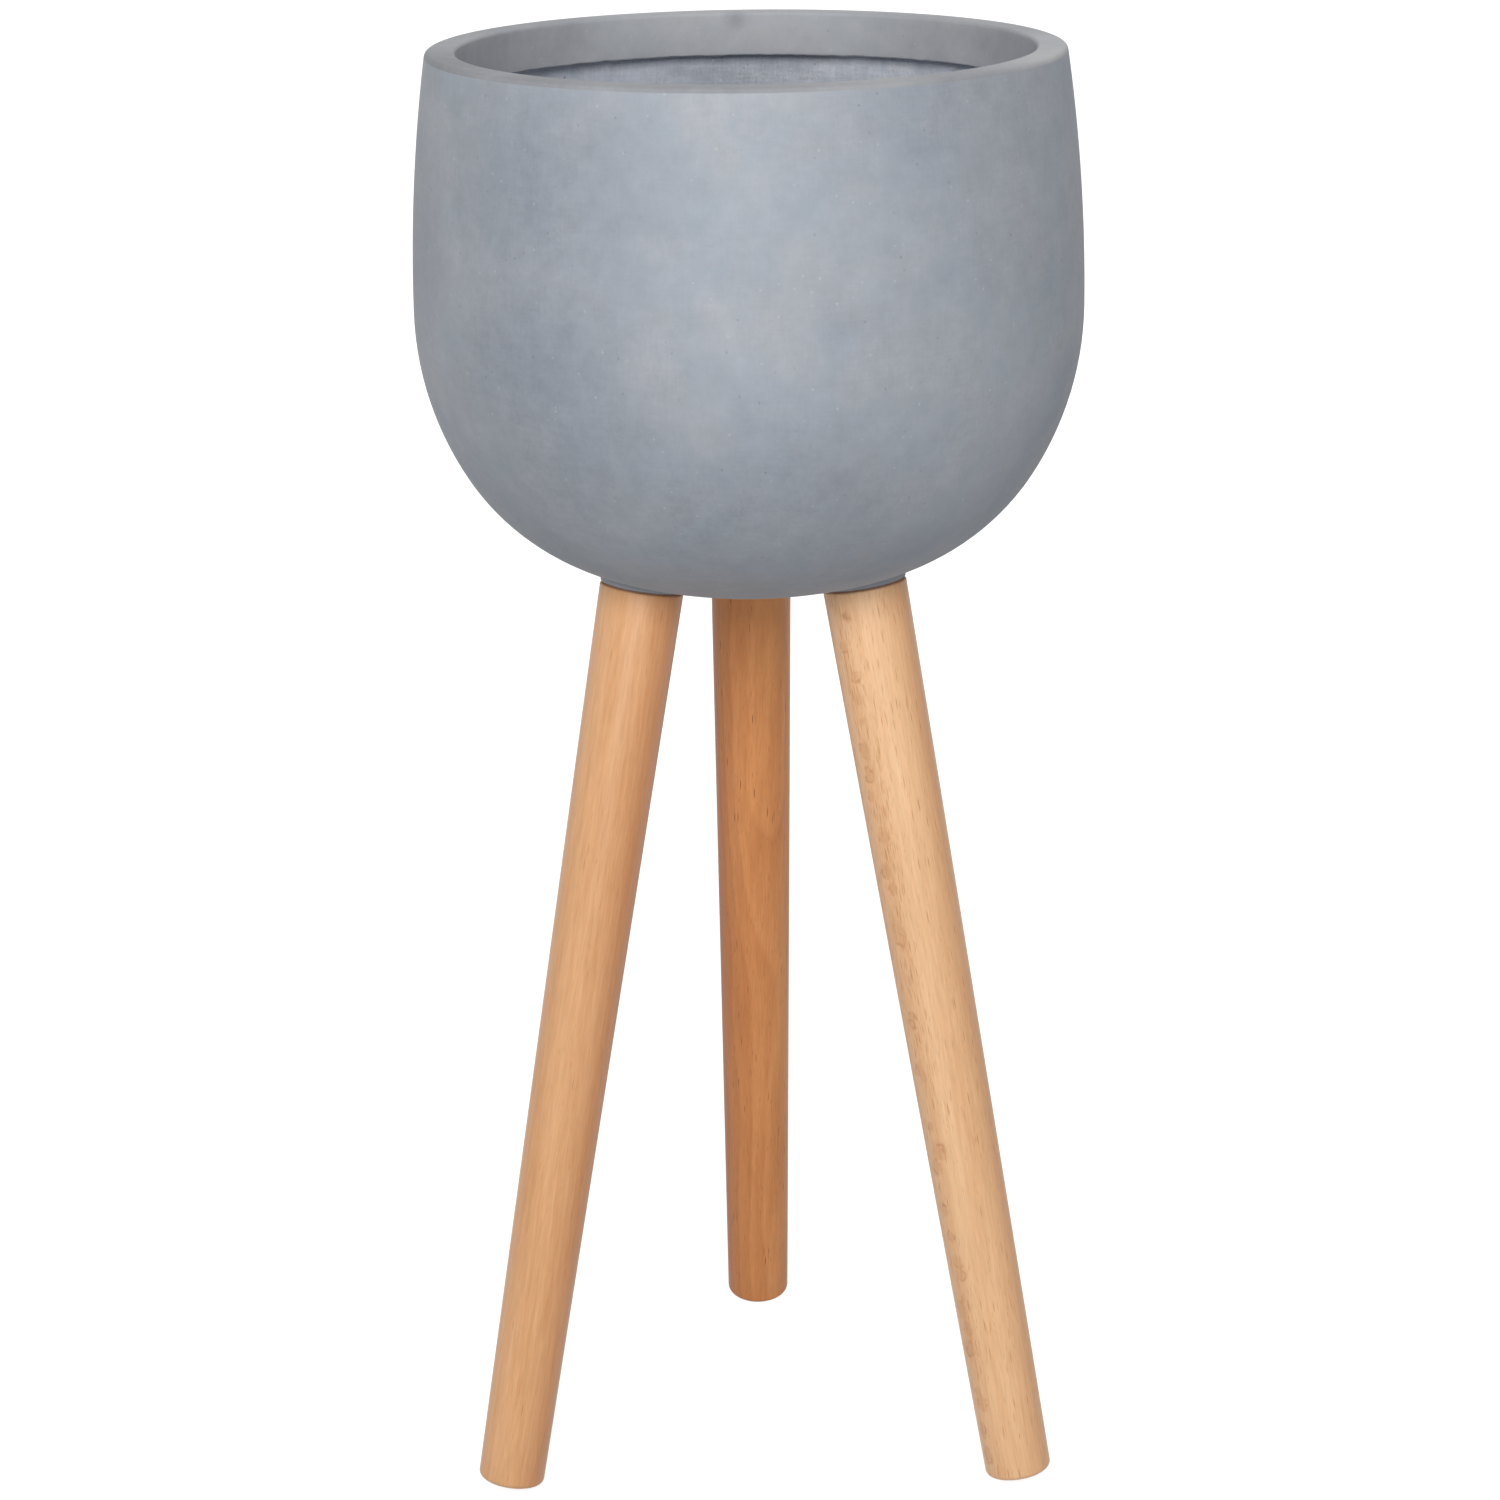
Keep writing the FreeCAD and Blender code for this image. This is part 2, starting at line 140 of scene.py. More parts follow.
LEG_FOOT_DROP = reach_along_leg("leg_rear", "rear")[0]
BOLT_LOW, BOLT_HIGH = reach_along_leg("hanger_bolt_rear", "rear")
turn, splay = leg_turn_and_splay("rear")
SEAT_HEIGHT = joints["leg_rear_unscrew"]["pos_m"][2]
PAD_HEIGHT = SEAT_HEIGHT + INSERT_LENGTH * math.cos(splay) + PAD_COVER
print(f"splay {math.degrees(splay):.2f} degrees, foot {-LEG_FOOT_DROP:.4f} below the seat")

# %% [markdown]
# How the round pieces are made.
# Bowl, legs, washers, bolts and bung are all turned or cast round an axis. A maker would cut
# a template of half the section. Here the same half section is drawn as a line of edges,
# one point after another by extruding a vertex, and the spin tool sweeps it round. This
# keeps every rounded edge a true arc, which a stack of plain cylinders wouldn't have.

# %% Small helpers for editing
MERGE_DISTANCE = 0.000002


def select_only(piece):
    """Leaves one object selected and active."""
    bpy.ops.object.select_all(action="DESELECT")
    piece.select_set(True)
    bpy.context.view_layer.objects.active = piece


def edit(piece):
    """Opens one object for editing, with all of it selected."""
    select_only(piece)
    bpy.ops.object.mode_set(mode="EDIT")
    bpy.ops.mesh.select_all(action="SELECT")


def leave_edit():
    bpy.ops.object.mode_set(mode="OBJECT")


def merged(piece):
    """Merges doubled points, and turns all faces outwards."""
    edit(piece)
    bpy.ops.mesh.remove_doubles(threshold=MERGE_DISTANCE)
    bpy.ops.mesh.normals_make_consistent(inside=False)
    leave_edit()
    return piece


def cut_flat(piece, height, side):
    """Cuts off what lies above a height (side 1) or below it (side -1), and closes the cut."""
    edit(piece)
    bpy.ops.mesh.bisect(plane_co=(0, 0, height), plane_no=(0, 0, side), use_fill=True, clear_outer=True)
    leave_edit()
    return piece


# %% Outlines
START_POINT_SIZE = 0.001


def arc(centre, radius, start, end, steps):
    """Points of an arc from one angle to another, in degrees, both ends included."""
    angles = [math.radians(start + (end - start) * step / steps) for step in range(steps + 1)]
    return [(centre[0] + radius * math.cos(a), centre[1] + radius * math.sin(a)) for a in angles]


def line(start, end, steps):
    """Points between two corners, without the corners themselves."""
    shares = [step / steps for step in range(1, steps)]
    return [(start[0] + (end[0] - start[0]) * s, start[1] + (end[1] - start[1]) * s) for s in shares]


def drawn_outline(name, outline, closed):
    """A line of edges through (distance from the axis, height) points, as a new object."""
    bpy.ops.object.select_all(action="DESELECT")
    bpy.ops.mesh.primitive_plane_add(size=START_POINT_SIZE)
    piece = bpy.context.active_object
    piece.name = name
    piece.data.name = name
    bpy.ops.object.mode_set(mode="EDIT")
    bpy.ops.mesh.merge(type="CENTER")
    bpy.ops.transform.translate(value=(outline[0][0], 0, outline[0][1]))
    for before, here in zip(outline, outline[1:]):
        step = (here[0] - before[0], 0, here[1] - before[1])
        bpy.ops.mesh.extrude_region_move(TRANSFORM_OT_translate={"value": step})
    if closed:
        leave_edit()
        last = len(piece.data.vertices) - 1
        for vertex in piece.data.vertices:
            vertex.select = vertex.index in (0, last)
        bpy.ops.object.mode_set(mode="EDIT")
        bpy.ops.mesh.edge_face_add()
    leave_edit()
    return piece


def spun(name, outline, steps, closed=False):
    """A solid of revolution about the upright axis, with its faces pointing outwards."""
    piece = drawn_outline(name, outline, closed)
    edit(piece)
    bpy.ops.mesh.spin(steps=steps, angle=math.tau, use_auto_merge=True, center=(0, 0, 0), axis=(0, 0, 1))
    leave_edit()
    return merged(piece)


# %% Finishing helpers
SMOOTH_BELOW = math.radians(35)


def smoothed(piece):
    """Shades a piece smooth, apart from its sharp edges."""
    select_only(piece)
    bpy.ops.object.shade_smooth_by_angle(angle=SMOOTH_BELOW)
    return piece


def set_in_place(piece, place):
    """Moves a piece to its place, and puts the place in the mesh."""
    select_only(piece)
    piece.matrix_world = place
    bpy.ops.object.transform_apply(location=True, rotation=True, scale=True)
    return piece


def copied(piece, name):
    """A copy of a piece with a mesh of its own."""
    select_only(piece)
    bpy.ops.object.duplicate()
    twin = bpy.context.active_object
    twin.name = name
    twin.data.name = name
    return twin


def modified(piece, kind, **settings):
    """Gives a piece a modifier with its settings, and applies it."""
    modifier = piece.modifiers.new(kind, kind)
    for name, value in settings.items():
        setattr(modifier, name, value)
    select_only(piece)
    bpy.ops.object.modifier_apply(modifier=modifier.name)
    return piece


def combined(piece, other, operation):
    """Joins, cuts or trims a piece by another one, which is then removed."""
    modified(piece, "BOOLEAN", operation=operation, solver="EXACT", object=other)
    bpy.data.objects.remove(other)
    return piece


def report(piece, node):
    """Prints how large a piece is, and how far its corners lie from those of its node."""
    low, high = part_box(node)
    corners = [Vector(corner) for corner in piece.bound_box]
    mine = [min(c[i] for c in corners) for i in range(3)] + [max(c[i] for c in corners) for i in range(3)]
    off = max(abs(a - b) for a, b in zip(mine, (*low, *high)))
    print(f"{piece.name}: {len(piece.data.polygons)} faces, corners within {1000 * off:.2f} mm of {node}")


# %% [markdown]
# The bowl.
# The real bowl is cast in one piece from cement and fibre in a two-part mould: a smooth
# shell that swells to a belly and closes in a round bottom, a thick lip turned inwards at
# the top, and a rough inside where the fibre was laid by hand. Its outline is four arcs that
# run smoothly into each other. Drawing the whole closed section, outside, lip and inside,
# gives the wall its real thickness at once.

# %% The arcs of the bowl
rim_radius = BELLY_RADIUS - RIM_SET_IN
mouth_radius = rim_radius - LIP_WIDTH
belly_height = RIM_HEIGHT - BELLY_DROP
barrel_radius = (RIM_SET_IN ** 2 + BELLY_DROP ** 2) / (2 * RIM_SET_IN)
shoulder_radius = BELLY_RADIUS * SHOULDER_RADIUS_SHARE
flank_radius = BELLY_RADIUS * FLANK_RADIUS_SHARE
shoulder = math.radians(SHOULDER_TURN)
flank = math.radians(FLANK_TURN)

LIP_EDGE_HEIGHT = RIM_HEIGHT - LIP_DEPTH
barrel_centre = (BELLY_RADIUS - barrel_radius, belly_height)
shoulder_centre = (BELLY_RADIUS - shoulder_radius, belly_height)
flank_centre = (
    shoulder_centre[0] + (shoulder_radius - flank_radius) * math.cos(shoulder),
    shoulder_centre[1] - (shoulder_radius - flank_radius) * math.sin(shoulder),
)
flank_end_radius = flank_centre[0] + flank_radius * math.cos(flank)
base_radius = (flank_end_radius - FLAT_RADIUS) / math.cos(flank)
base_centre = (FLAT_RADIUS, BOTTOM_HEIGHT + base_radius)
arcs = {"barrel": barrel_radius, "shoulder": shoulder_radius, "flank": flank_radius, "base": base_radius}
print("arcs:", ", ".join(f"{name} {radius:.4f}" for name, radius in arcs.items()))


# %% The section of the bowl
OUTSIDE_STEPS = {"base": 14, "flank": 16, "shoulder": 14, "barrel": 20}
INSIDE_STEPS = {"base": 16, "flank": 20, "shoulder": 20, "barrel": 30}
EDGE_STEPS = {"rim": 6, "lip": 6, "lip edge": 4, "under the lip": 5, "drain": 3}
LIP_EDGE_END = 250


def barrel_angle(radius, height):
    """Where an arc about the barrel's centre reaches a height, in degrees."""
    return math.degrees(math.asin((height - belly_height) / radius))


def bowl_outline():
    """The closed half section of the bowl, from the drain hole out, up, over and down inside."""
    steps = OUTSIDE_STEPS
    outside = arc(base_centre, base_radius, -90, -FLANK_TURN, steps["base"])
    outside += arc(flank_centre, flank_radius, -FLANK_TURN, -SHOULDER_TURN, steps["flank"])[1:]
    outside += arc(shoulder_centre, shoulder_radius, -SHOULDER_TURN, 0, steps["shoulder"])[1:]

    round_height = RIM_HEIGHT - RIM_OUTER_ROUND
    round_angle = barrel_angle(barrel_radius - RIM_OUTER_ROUND, round_height)
    reach = (barrel_radius - RIM_OUTER_ROUND) * math.cos(math.radians(round_angle))
    round_centre = (barrel_centre[0] + reach, round_height)
    outside += arc(barrel_centre, barrel_radius, 0, round_angle, steps["barrel"])[1:]

    steps = EDGE_STEPS
    inner_corner = (mouth_radius + RIM_INNER_ROUND, RIM_HEIGHT - RIM_INNER_ROUND)
    rim = arc(round_centre, RIM_OUTER_ROUND, round_angle, 90, steps["rim"])[1:]
    rim += arc(inner_corner, RIM_INNER_ROUND, 90, 180, steps["rim"])
    lip_end = (mouth_radius + LIP_EDGE_ROUND, LIP_EDGE_HEIGHT + LIP_EDGE_ROUND)
    lip = line((mouth_radius, inner_corner[1]), (mouth_radius, lip_end[1]), steps["lip"])
    lip += arc(lip_end, LIP_EDGE_ROUND, 180, LIP_EDGE_END, steps["lip edge"])
    edge = DRAIN_EDGE_ROUND
    drain = arc((DRAIN_RADIUS + edge, BOTTOM_HEIGHT + WALL - edge), edge, 90, 180, steps["drain"])
    drain += arc((DRAIN_RADIUS + edge, BOTTOM_HEIGHT + edge), edge, 180, 270, steps["drain"])

    steps = INSIDE_STEPS
    inner_barrel = barrel_radius - WALL
    undercut_angle = barrel_angle(inner_barrel, LIP_EDGE_HEIGHT - UNDERCUT_RISE)
    inside = arc(barrel_centre, inner_barrel, undercut_angle, 0, steps["barrel"])
    under_lip = line(lip[-1], inside[0], EDGE_STEPS["under the lip"])
    inside += arc(shoulder_centre, shoulder_radius - WALL, 0, -SHOULDER_TURN, steps["shoulder"])[1:]
    inside += arc(flank_centre, flank_radius - WALL, -SHOULDER_TURN, -FLANK_TURN, steps["flank"])[1:]
    inside += arc(base_centre, base_radius - WALL, -FLANK_TURN, -90, steps["base"])[1:]
    return outside + rim + lip + under_lip + inside + drain


BOWL_STEPS = 256
bowl_section = bowl_outline()
bowl = spun("bowl_casting", bowl_section, BOWL_STEPS, closed=True)
print(f"section of {len(bowl_section)} points, shell of {len(bowl.data.polygons)} faces")

# %% [markdown]
# The leg seats.
# Under the bowl each leg meets a flat seat square to its own axis, and inside the bowl the
# same boss ends in a level pad. The boss is a turned blank, set on the leg's axis, whose top
# is cut level with the bisect tool. The union tool then grows it into the shell, and an
# insert-shaped plug cuts the pocket that the threaded insert fills.

# %% Bosses
BOSS_STEPS = 72
BOSS_EDGE_ROUND = 0.0006
BOSS_EDGE_STEPS = 3
OVERRUN = 0.004


def make_boss(leg):
    """A seat boss on its leg's axis, with its top cut level inside the bowl."""
    rise = PAD_HEIGHT - SEAT_HEIGHT + LEG_TOP_RADIUS * math.sin(splay) + OVERRUN
    top = rise / math.cos(splay)
    corner = (LEG_TOP_RADIUS - BOSS_EDGE_ROUND, BOSS_EDGE_ROUND)
    edge = arc(corner, BOSS_EDGE_ROUND, -90, 0, BOSS_EDGE_STEPS)
    outline = [(0, 0), *edge, (LEG_TOP_RADIUS, top), (0, top)]
    boss = set_in_place(spun(f"boss_{leg}", outline, BOSS_STEPS), leg_place(leg))
    return cut_flat(boss, PAD_HEIGHT, 1)


def insert_outline(low):
    """Half the section of an insert's outside, from a named height up."""
    flange = INSERT_LENGTH - INSERT_FLANGE_THICKNESS
    return [
        (0, low),
        (INSERT_RADIUS, low),
        (INSERT_RADIUS, flange),
        (INSERT_FLANGE_RADIUS, flange),
        (INSERT_FLANGE_RADIUS, INSERT_LENGTH),
        (0, INSERT_LENGTH),
    ]


for leg in LEG_NAMES:
    combined(bowl, make_boss(leg), "UNION")
for leg in LEG_NAMES:
    plug = set_in_place(spun(f"plug_{leg}", insert_outline(-OVERRUN), BOSS_STEPS), leg_place(leg))
    combined(bowl, plug, "DIFFERENCE")
print(f"bowl with seats, pads and pockets: {len(bowl.data.polygons)} faces")

# %% [markdown]
# The rough inside.
# Fibre laid by hand leaves the inside uneven, and the lower edge of the lip a little ragged.
# The points there could be moved about by hand. A displace modifier does it evenly: the
# points inside are put in one vertex group and those of the lip's edge in another, and a
# cloud texture moves only the points of its group.

# %% Uneven inside
INSIDE_UNEVENNESS = 0.0011
INSIDE_LUMP_SIZE = 0.011
LIP_RAGGEDNESS = 0.0016
LIP_RAG_SIZE = 0.006


def inner_wall_distance(height):
    """How far the inner wall is from the axis at a height, or None below the shoulder."""
    if height >= belly_height:
        return barrel_centre[0] + math.sqrt((barrel_radius - WALL) ** 2 - (height - belly_height) ** 2)
    if height >= shoulder_centre[1] - (shoulder_radius - WALL) * math.sin(shoulder):
        return shoulder_centre[0] + math.sqrt((shoulder_radius - WALL) ** 2 - (height - belly_height) ** 2)
    return None


def roughened(piece, group_name, indices, strength, lump_size):
    """Moves a group of vertices in and out along their normals by a cloud texture."""
    group = piece.vertex_groups.new(name=group_name)
    group.add(indices, 1.0, "REPLACE")
    texture = bpy.data.textures.new(group_name, "CLOUDS")
    texture.noise_scale = lump_size
    modified(piece, "DISPLACE", texture=texture, texture_coords="LOCAL", vertex_group=group_name,
             strength=strength, mid_level=0.5)
    piece.vertex_groups.remove(piece.vertex_groups[group_name])


INSIDE_MARGIN = 0.002
inside_indices = []
lip_indices = []
for vertex in bowl.data.vertices:
    distance = math.hypot(vertex.co.x, vertex.co.y)
    height = vertex.co.z
    wall_distance = inner_wall_distance(height)
    if abs(height - LIP_EDGE_HEIGHT) < UNDERCUT_RISE and distance < rim_radius - WALL:
        lip_indices.append(vertex.index)
    elif wall_distance and height < LIP_EDGE_HEIGHT and distance < wall_distance + INSIDE_MARGIN:
        inside_indices.append(vertex.index)
roughened(bowl, "laid_fibre", inside_indices, INSIDE_UNEVENNESS, INSIDE_LUMP_SIZE)
roughened(bowl, "ragged_lip", lip_indices, LIP_RAGGEDNESS, LIP_RAG_SIZE)
smoothed(bowl)
report(bowl, "bowl")

# %% [markdown]
# The legs.
# A real leg is turned from one length of beech: a plain taper, cut square at both ends, with
# its edges eased and a hole drilled in the top for the bolt. Rings along the taper divide it,
# so that no face is longer than a few centimetres. One leg is turned, and the others are
# copies.

# %% Turn one leg
LEG_STEPS = 96
LEG_RINGS = 20
LEG_FOOT_STEPS = 7
LEG_TOP_STEPS = 4
LEG_TOP = -WASHER_THICKNESS


def leg_outline():
    """Half the section of a leg, from the middle of the foot up and into the bolt hole."""
    foot = LEG_FOOT_DROP
    foot_corner = (LEG_FOOT_RADIUS - LEG_FOOT_ROUND, foot + LEG_FOOT_ROUND)
    top_corner = (LEG_TOP_RADIUS - LEG_TOP_ROUND, LEG_TOP - LEG_TOP_ROUND)
    foot_arc = arc(foot_corner, LEG_FOOT_ROUND, -90, 0, LEG_FOOT_STEPS)
    top_arc = arc(top_corner, LEG_TOP_ROUND, 0, 90, LEG_TOP_STEPS)
    hole_floor = LEG_TOP - WOOD_THREAD_LENGTH
    return [
        (0, foot),
        *foot_arc,
        *line(foot_arc[-1], top_arc[0], LEG_RINGS),
        *top_arc,
        (PILOT_RADIUS, LEG_TOP),
        (PILOT_RADIUS, hole_floor),
        (0, hole_floor),
    ]


leg_blank = smoothed(spun("leg_blank", leg_outline(), LEG_STEPS))
print(f"a leg {LEG_TOP - LEG_FOOT_DROP:.4f} long, {len(leg_blank.data.polygons)} faces")

# %% [markdown]
# The bolts and inserts.
# A leg screws on by a hanger bolt: a coarse wood thread that stays in the leg, a plain neck,
# and an M8 machine thread that goes up into a steel insert in the bowl. A thread could be
# painted on, but it shows when a leg is unscrewed. So one turn of its outline is drawn, the
# screw modifier winds it up the bolt, and the ends are cut flat with the bisect tool.

# %% Threads
MACHINE_PITCH = 0.00125
MACHINE_ROOT = 0.00342
MACHINE_CREST = 0.00396
MACHINE_RIDGE = 0.3
WOOD_PITCH = 0.003
WOOD_ROOT = 0.0029
WOOD_RIDGE = 0.12
THREAD_PLAY = 0.00009
THREAD_STEPS = 36


def wound(name, pitch, root, crest, low, high, ridge_share):
    """A threaded rod, wound from one turn of its outline and cut flat at both ends."""
    start = (math.floor(low / pitch) - 1) * pitch
    slope = (1 - ridge_share) / 2 * pitch
    flat = ridge_share / 2 * pitch
    outline = [
        (root, start),
        (root, start + flat),
        (crest, start + flat + slope),
        (crest, start + 2 * flat + slope),
        (root, start + pitch),
    ]
    rod = drawn_outline(name, outline, closed=False)
    modified(rod, "SCREW", axis="Z", angle=math.tau, screw_offset=pitch, use_smooth_shade=False,
             iterations=math.ceil((high - low) / pitch) + 2, steps=THREAD_STEPS, render_steps=THREAD_STEPS)
    return merged(cut_flat(cut_flat(merged(rod), high, 1), low, -1))


# %% Wind one hanger bolt
NECK_RADIUS = 0.0038
NECK_LOW = -0.007
NECK_HIGH = -0.0015
NECK_LAP = 0.0004
BOLT_POINT_RADIUS = 0.0008
BOLT_POINT_LENGTH = 0.004
BOLT_END_CHAMFER = 0.001
ROD_STEPS = 48


def make_bolt():
    """Wood thread, neck and machine thread in one, pointed below and chamfered above."""
    bolt = wound("bolt_blank", MACHINE_PITCH, MACHINE_ROOT, MACHINE_CREST, NECK_HIGH, BOLT_HIGH,
                 MACHINE_RIDGE)
    wood = wound("wood_thread", WOOD_PITCH, WOOD_ROOT, BOLT_RADIUS, BOLT_LOW, NECK_LOW, WOOD_RIDGE)
    neck_low, neck_high = NECK_LOW - NECK_LAP, NECK_HIGH + NECK_LAP
    outline = [(0, neck_low), (NECK_RADIUS, neck_low), (NECK_RADIUS, neck_high), (0, neck_high)]
    neck = spun("neck", outline, ROD_STEPS)
    combined(bolt, neck, "UNION")
    combined(bolt, wood, "UNION")
    envelope = spun("envelope", [
        (0, BOLT_LOW),
        (BOLT_POINT_RADIUS, BOLT_LOW),
        (BOLT_RADIUS, BOLT_LOW + BOLT_POINT_LENGTH),
        (BOLT_RADIUS, BOLT_HIGH - BOLT_END_CHAMFER),
        (BOLT_RADIUS - BOLT_END_CHAMFER, BOLT_HIGH),
        (0, BOLT_HIGH),
    ], ROD_STEPS)
    return combined(bolt, envelope, "INTERSECT")


bolt_blank = smoothed(make_bolt())
print(f"hanger bolt of {len(bolt_blank.data.polygons)} faces")


# %% Cut one insert
def make_insert():
    """A flanged sleeve with a blind threaded hole."""
    insert = spun("insert_blank", insert_outline(0), BOSS_STEPS)
    tap = wound("tap", MACHINE_PITCH, MACHINE_ROOT + THREAD_PLAY, MACHINE_CREST + THREAD_PLAY,
                -OVERRUN, INSERT_BORE_DEPTH, MACHINE_RIDGE)
    return combined(insert, tap, "DIFFERENCE")


insert_blank = smoothed(make_insert())
print(f"threaded insert of {len(insert_blank.data.polygons)} faces")

# %% [markdown]
# The washers and the bung.
# Between leg and seat lies a thin fibre washer, which is the fine dark line at the top of
# each leg. The rubber bung in the drain hole has a flange to seal it, two ribs on its stem
# that grip the hole, and a waisted knob to pull it by.

# %% Washer
WASHER_EDGE_STEPS = 4


def washer_outline():
    """The closed section of a flat ring with eased edges."""
    ease = WASHER_EDGE_ROUND
    low, high = -WASHER_THICKNESS, 0
    outer, inner = WASHER_RADIUS - ease, WASHER_HOLE_RADIUS + ease
    corners = ((outer, low + ease), (outer, high - ease), (inner, high - ease), (inner, low + ease))
    section = []
    for quarter, corner in enumerate(corners):
        start = 90 * quarter - 90
        section += arc(corner, ease, start, start + 90, WASHER_EDGE_STEPS)
    return section


washer_blank = smoothed(spun("washer_blank", washer_outline(), LEG_STEPS, closed=True))
print(f"washer of {len(washer_blank.data.polygons)} faces")

# %% Bung
bung_low, bung_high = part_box("drain_bung")
STEM_RADIUS = 0.009
STEM_WAIST_RADIUS = 0.0084
STEM_CHAMFER = 0.0015
STEM_RIB_HALF = 0.0009
STEM_RIB_HEIGHTS = (0.0045, 0.0085)
BUNG_FLANGE_RADIUS = bung_high.x
BUNG_FLANGE_THICKNESS = 0.003
BUNG_FLANGE_ROUND = 0.001
BUNG_KNOB_RADIUS = 0.005
BUNG_KNOB_ROUND = 0.0015
BUNG_NECK_RADIUS = 0.0041
BUNG_NECK_ARC = (250, 110, 8)
BUNG_CAP_ARC = (-20, 90, 6)
BUNG_FLANGE_ARC = (0, 90, 4)
BUNG_STEPS = 72


def bung_outline():
    """Half the section of the bung, from the middle of its stem's end up."""
    low, high = bung_low.z, bung_high.z
    flange_low = BOTTOM_HEIGHT + WALL
    flange_high = flange_low + BUNG_FLANGE_THICKNESS
    stem = [(0, low), (STEM_RADIUS - STEM_CHAMFER, low), (STEM_WAIST_RADIUS, low + STEM_CHAMFER)]
    for height in STEM_RIB_HEIGHTS:
        stem += [
            (STEM_WAIST_RADIUS, low + height - 2 * STEM_RIB_HALF),
            (STEM_RADIUS, low + height - STEM_RIB_HALF / 2),
            (STEM_RADIUS, low + height + STEM_RIB_HALF / 2),
            (STEM_WAIST_RADIUS, low + height + 2 * STEM_RIB_HALF),
        ]
    flange_corner = BUNG_FLANGE_RADIUS - BUNG_FLANGE_ROUND
    flange = [(STEM_WAIST_RADIUS, flange_low), (BUNG_FLANGE_RADIUS, flange_low)]
    flange += arc((flange_corner, flange_high - BUNG_FLANGE_ROUND), BUNG_FLANGE_ROUND, *BUNG_FLANGE_ARC)
    waist = (high - flange_high) / 2
    knob = arc((BUNG_NECK_RADIUS + waist / 2, flange_high + waist / 2), waist / 2, *BUNG_NECK_ARC)
    cap_corner = (BUNG_KNOB_RADIUS - BUNG_KNOB_ROUND, high - BUNG_KNOB_ROUND)
    cap = arc(cap_corner, BUNG_KNOB_ROUND, *BUNG_CAP_ARC)
    return [*stem, *flange, *knob, *cap, (0, high)]


bung = smoothed(spun("drain_bung_moulding", bung_outline(), BUNG_STEPS))
report(bung, "drain_bung")

# %% [markdown]
# Setting the pieces on their legs.
# Each blank is copied once for each leg, with a mesh of its own, and set on the leg's axis.
# A piece rides on the body that moves it: the bolt turns with its leg, the washer only
# slides, and the insert stays in the bowl.

# %% Copy the blanks
BLANKS = {
    "leg": (leg_blank, "leg_{leg}_turning", "leg_{leg}", "leg_{leg}", "beech"),
    "bolt": (bolt_blank, "hanger_bolt_{leg}_threaded", "hanger_bolt_{leg}", "leg_{leg}", "zinc_steel"),
    "washer": (
        washer_blank, "leg_washer_{leg}_ring", "leg_washer_{leg}", "leg_washer_{leg}", "washer_fibre",
    ),
    "insert": (
        insert_blank, "threaded_insert_{leg}_sleeve", "threaded_insert_{leg}", "bowl", "zinc_steel",
    ),
}
pieces = {}
for kind, (blank, name, node, body, slot) in BLANKS.items():
    for leg in LEG_NAMES:
        piece = copied(blank, name.format(leg=leg))
        set_in_place(piece, leg_place(leg))
        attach(piece, body.format(leg=leg))
        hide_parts(node.format(leg=leg))
        report(piece, node.format(leg=leg))
        pieces[kind, leg] = piece
    bpy.data.objects.remove(blank)

# %% The bowl and the bung ride too
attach(bowl, "bowl")
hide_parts("bowl")
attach(bung, "drain_bung")
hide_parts("drain_bung")
print("on their bodies too:", bowl.name, "and", bung.name)

# %% [markdown]
# Finishes.
# Every finish is worked out from the place on the piece, so it needs no image and stays the
# same from all sides. Colours are written the way a paint card gives them, from 0 to 255,
# and changed to the linear values that the renderer wants. Each node is added by a helper
# that gives back its output, wrapped so that sums of outputs can be written out plainly.

# %% Colours and nodes
def paint(red, green, blue):
    """A colour as on a paint card, made linear."""
    linear = []
    for channel in (red, green, blue):
        share = channel / 255
        linear.append(share / 12.92 if share <= 0.04045 else ((share + 0.055) / 1.055) ** 2.4)
    return (*linear, 1.0)


def feed(node, values):
    """Gives sockets, named or numbered, their values, or links where a value is an output."""
    for socket, value in values.items():
        if isinstance(value, Output):
            value.tree.links.new(value.socket, node.inputs[socket])
        else:
            node.inputs[socket].default_value = value
    return node


def add(tree, kind, values=(), **settings):
    """A new node with its settings and the values of its sockets, by name or in their order."""
    node = tree.nodes.new(kind)
    for name, value in settings.items():
        setattr(node, name, value)
    return feed(node, values if isinstance(values, dict) else dict(enumerate(values)))


# %% Sums of outputs
class Output:
    """An output of a node. A sum with it adds the node that works the sum out."""

    def __init__(self, socket):
        self.socket = socket
        self.tree = socket.id_data

    def __add__(self, other):
        return maths("ADD", self, other)

    def __sub__(self, other):
        return maths("SUBTRACT", self, other)

    def __rsub__(self, other):
        return maths("SUBTRACT", other, self)

    def __mul__(self, other):
        return maths("MULTIPLY", self, other)

    def __truediv__(self, other):
        return maths("DIVIDE", self, other)


def tree_of(values):
    """The tree that some values belong to."""
    return next(value.tree for value in values if isinstance(value, Output))


def maths(operation, *values):
    """A value worked out from values."""
    return Output(add(tree_of(values), "ShaderNodeMath", values, operation=operation).outputs[0])


def vector_maths(operation, *vectors):
    """A new vector, or a length or a distance, worked out from vectors."""
    node = add(tree_of(vectors), "ShaderNodeVectorMath", vectors, operation=operation)
    return Output(node.outputs["Value" if operation in ("LENGTH", "DISTANCE") else "Vector"])


def parted(kind, value):
    """The three parts of a vector or a colour."""
    return [Output(part) for part in add(value.tree, f"ShaderNodeSeparate{kind}", [value]).outputs]


# %% Patterns and blends
NOISE_SPAN = (0.3, 0.7)


def object_place(tree):
    """The place on the piece."""
    return Output(add(tree, "ShaderNodeTexCoord").outputs["Object"])


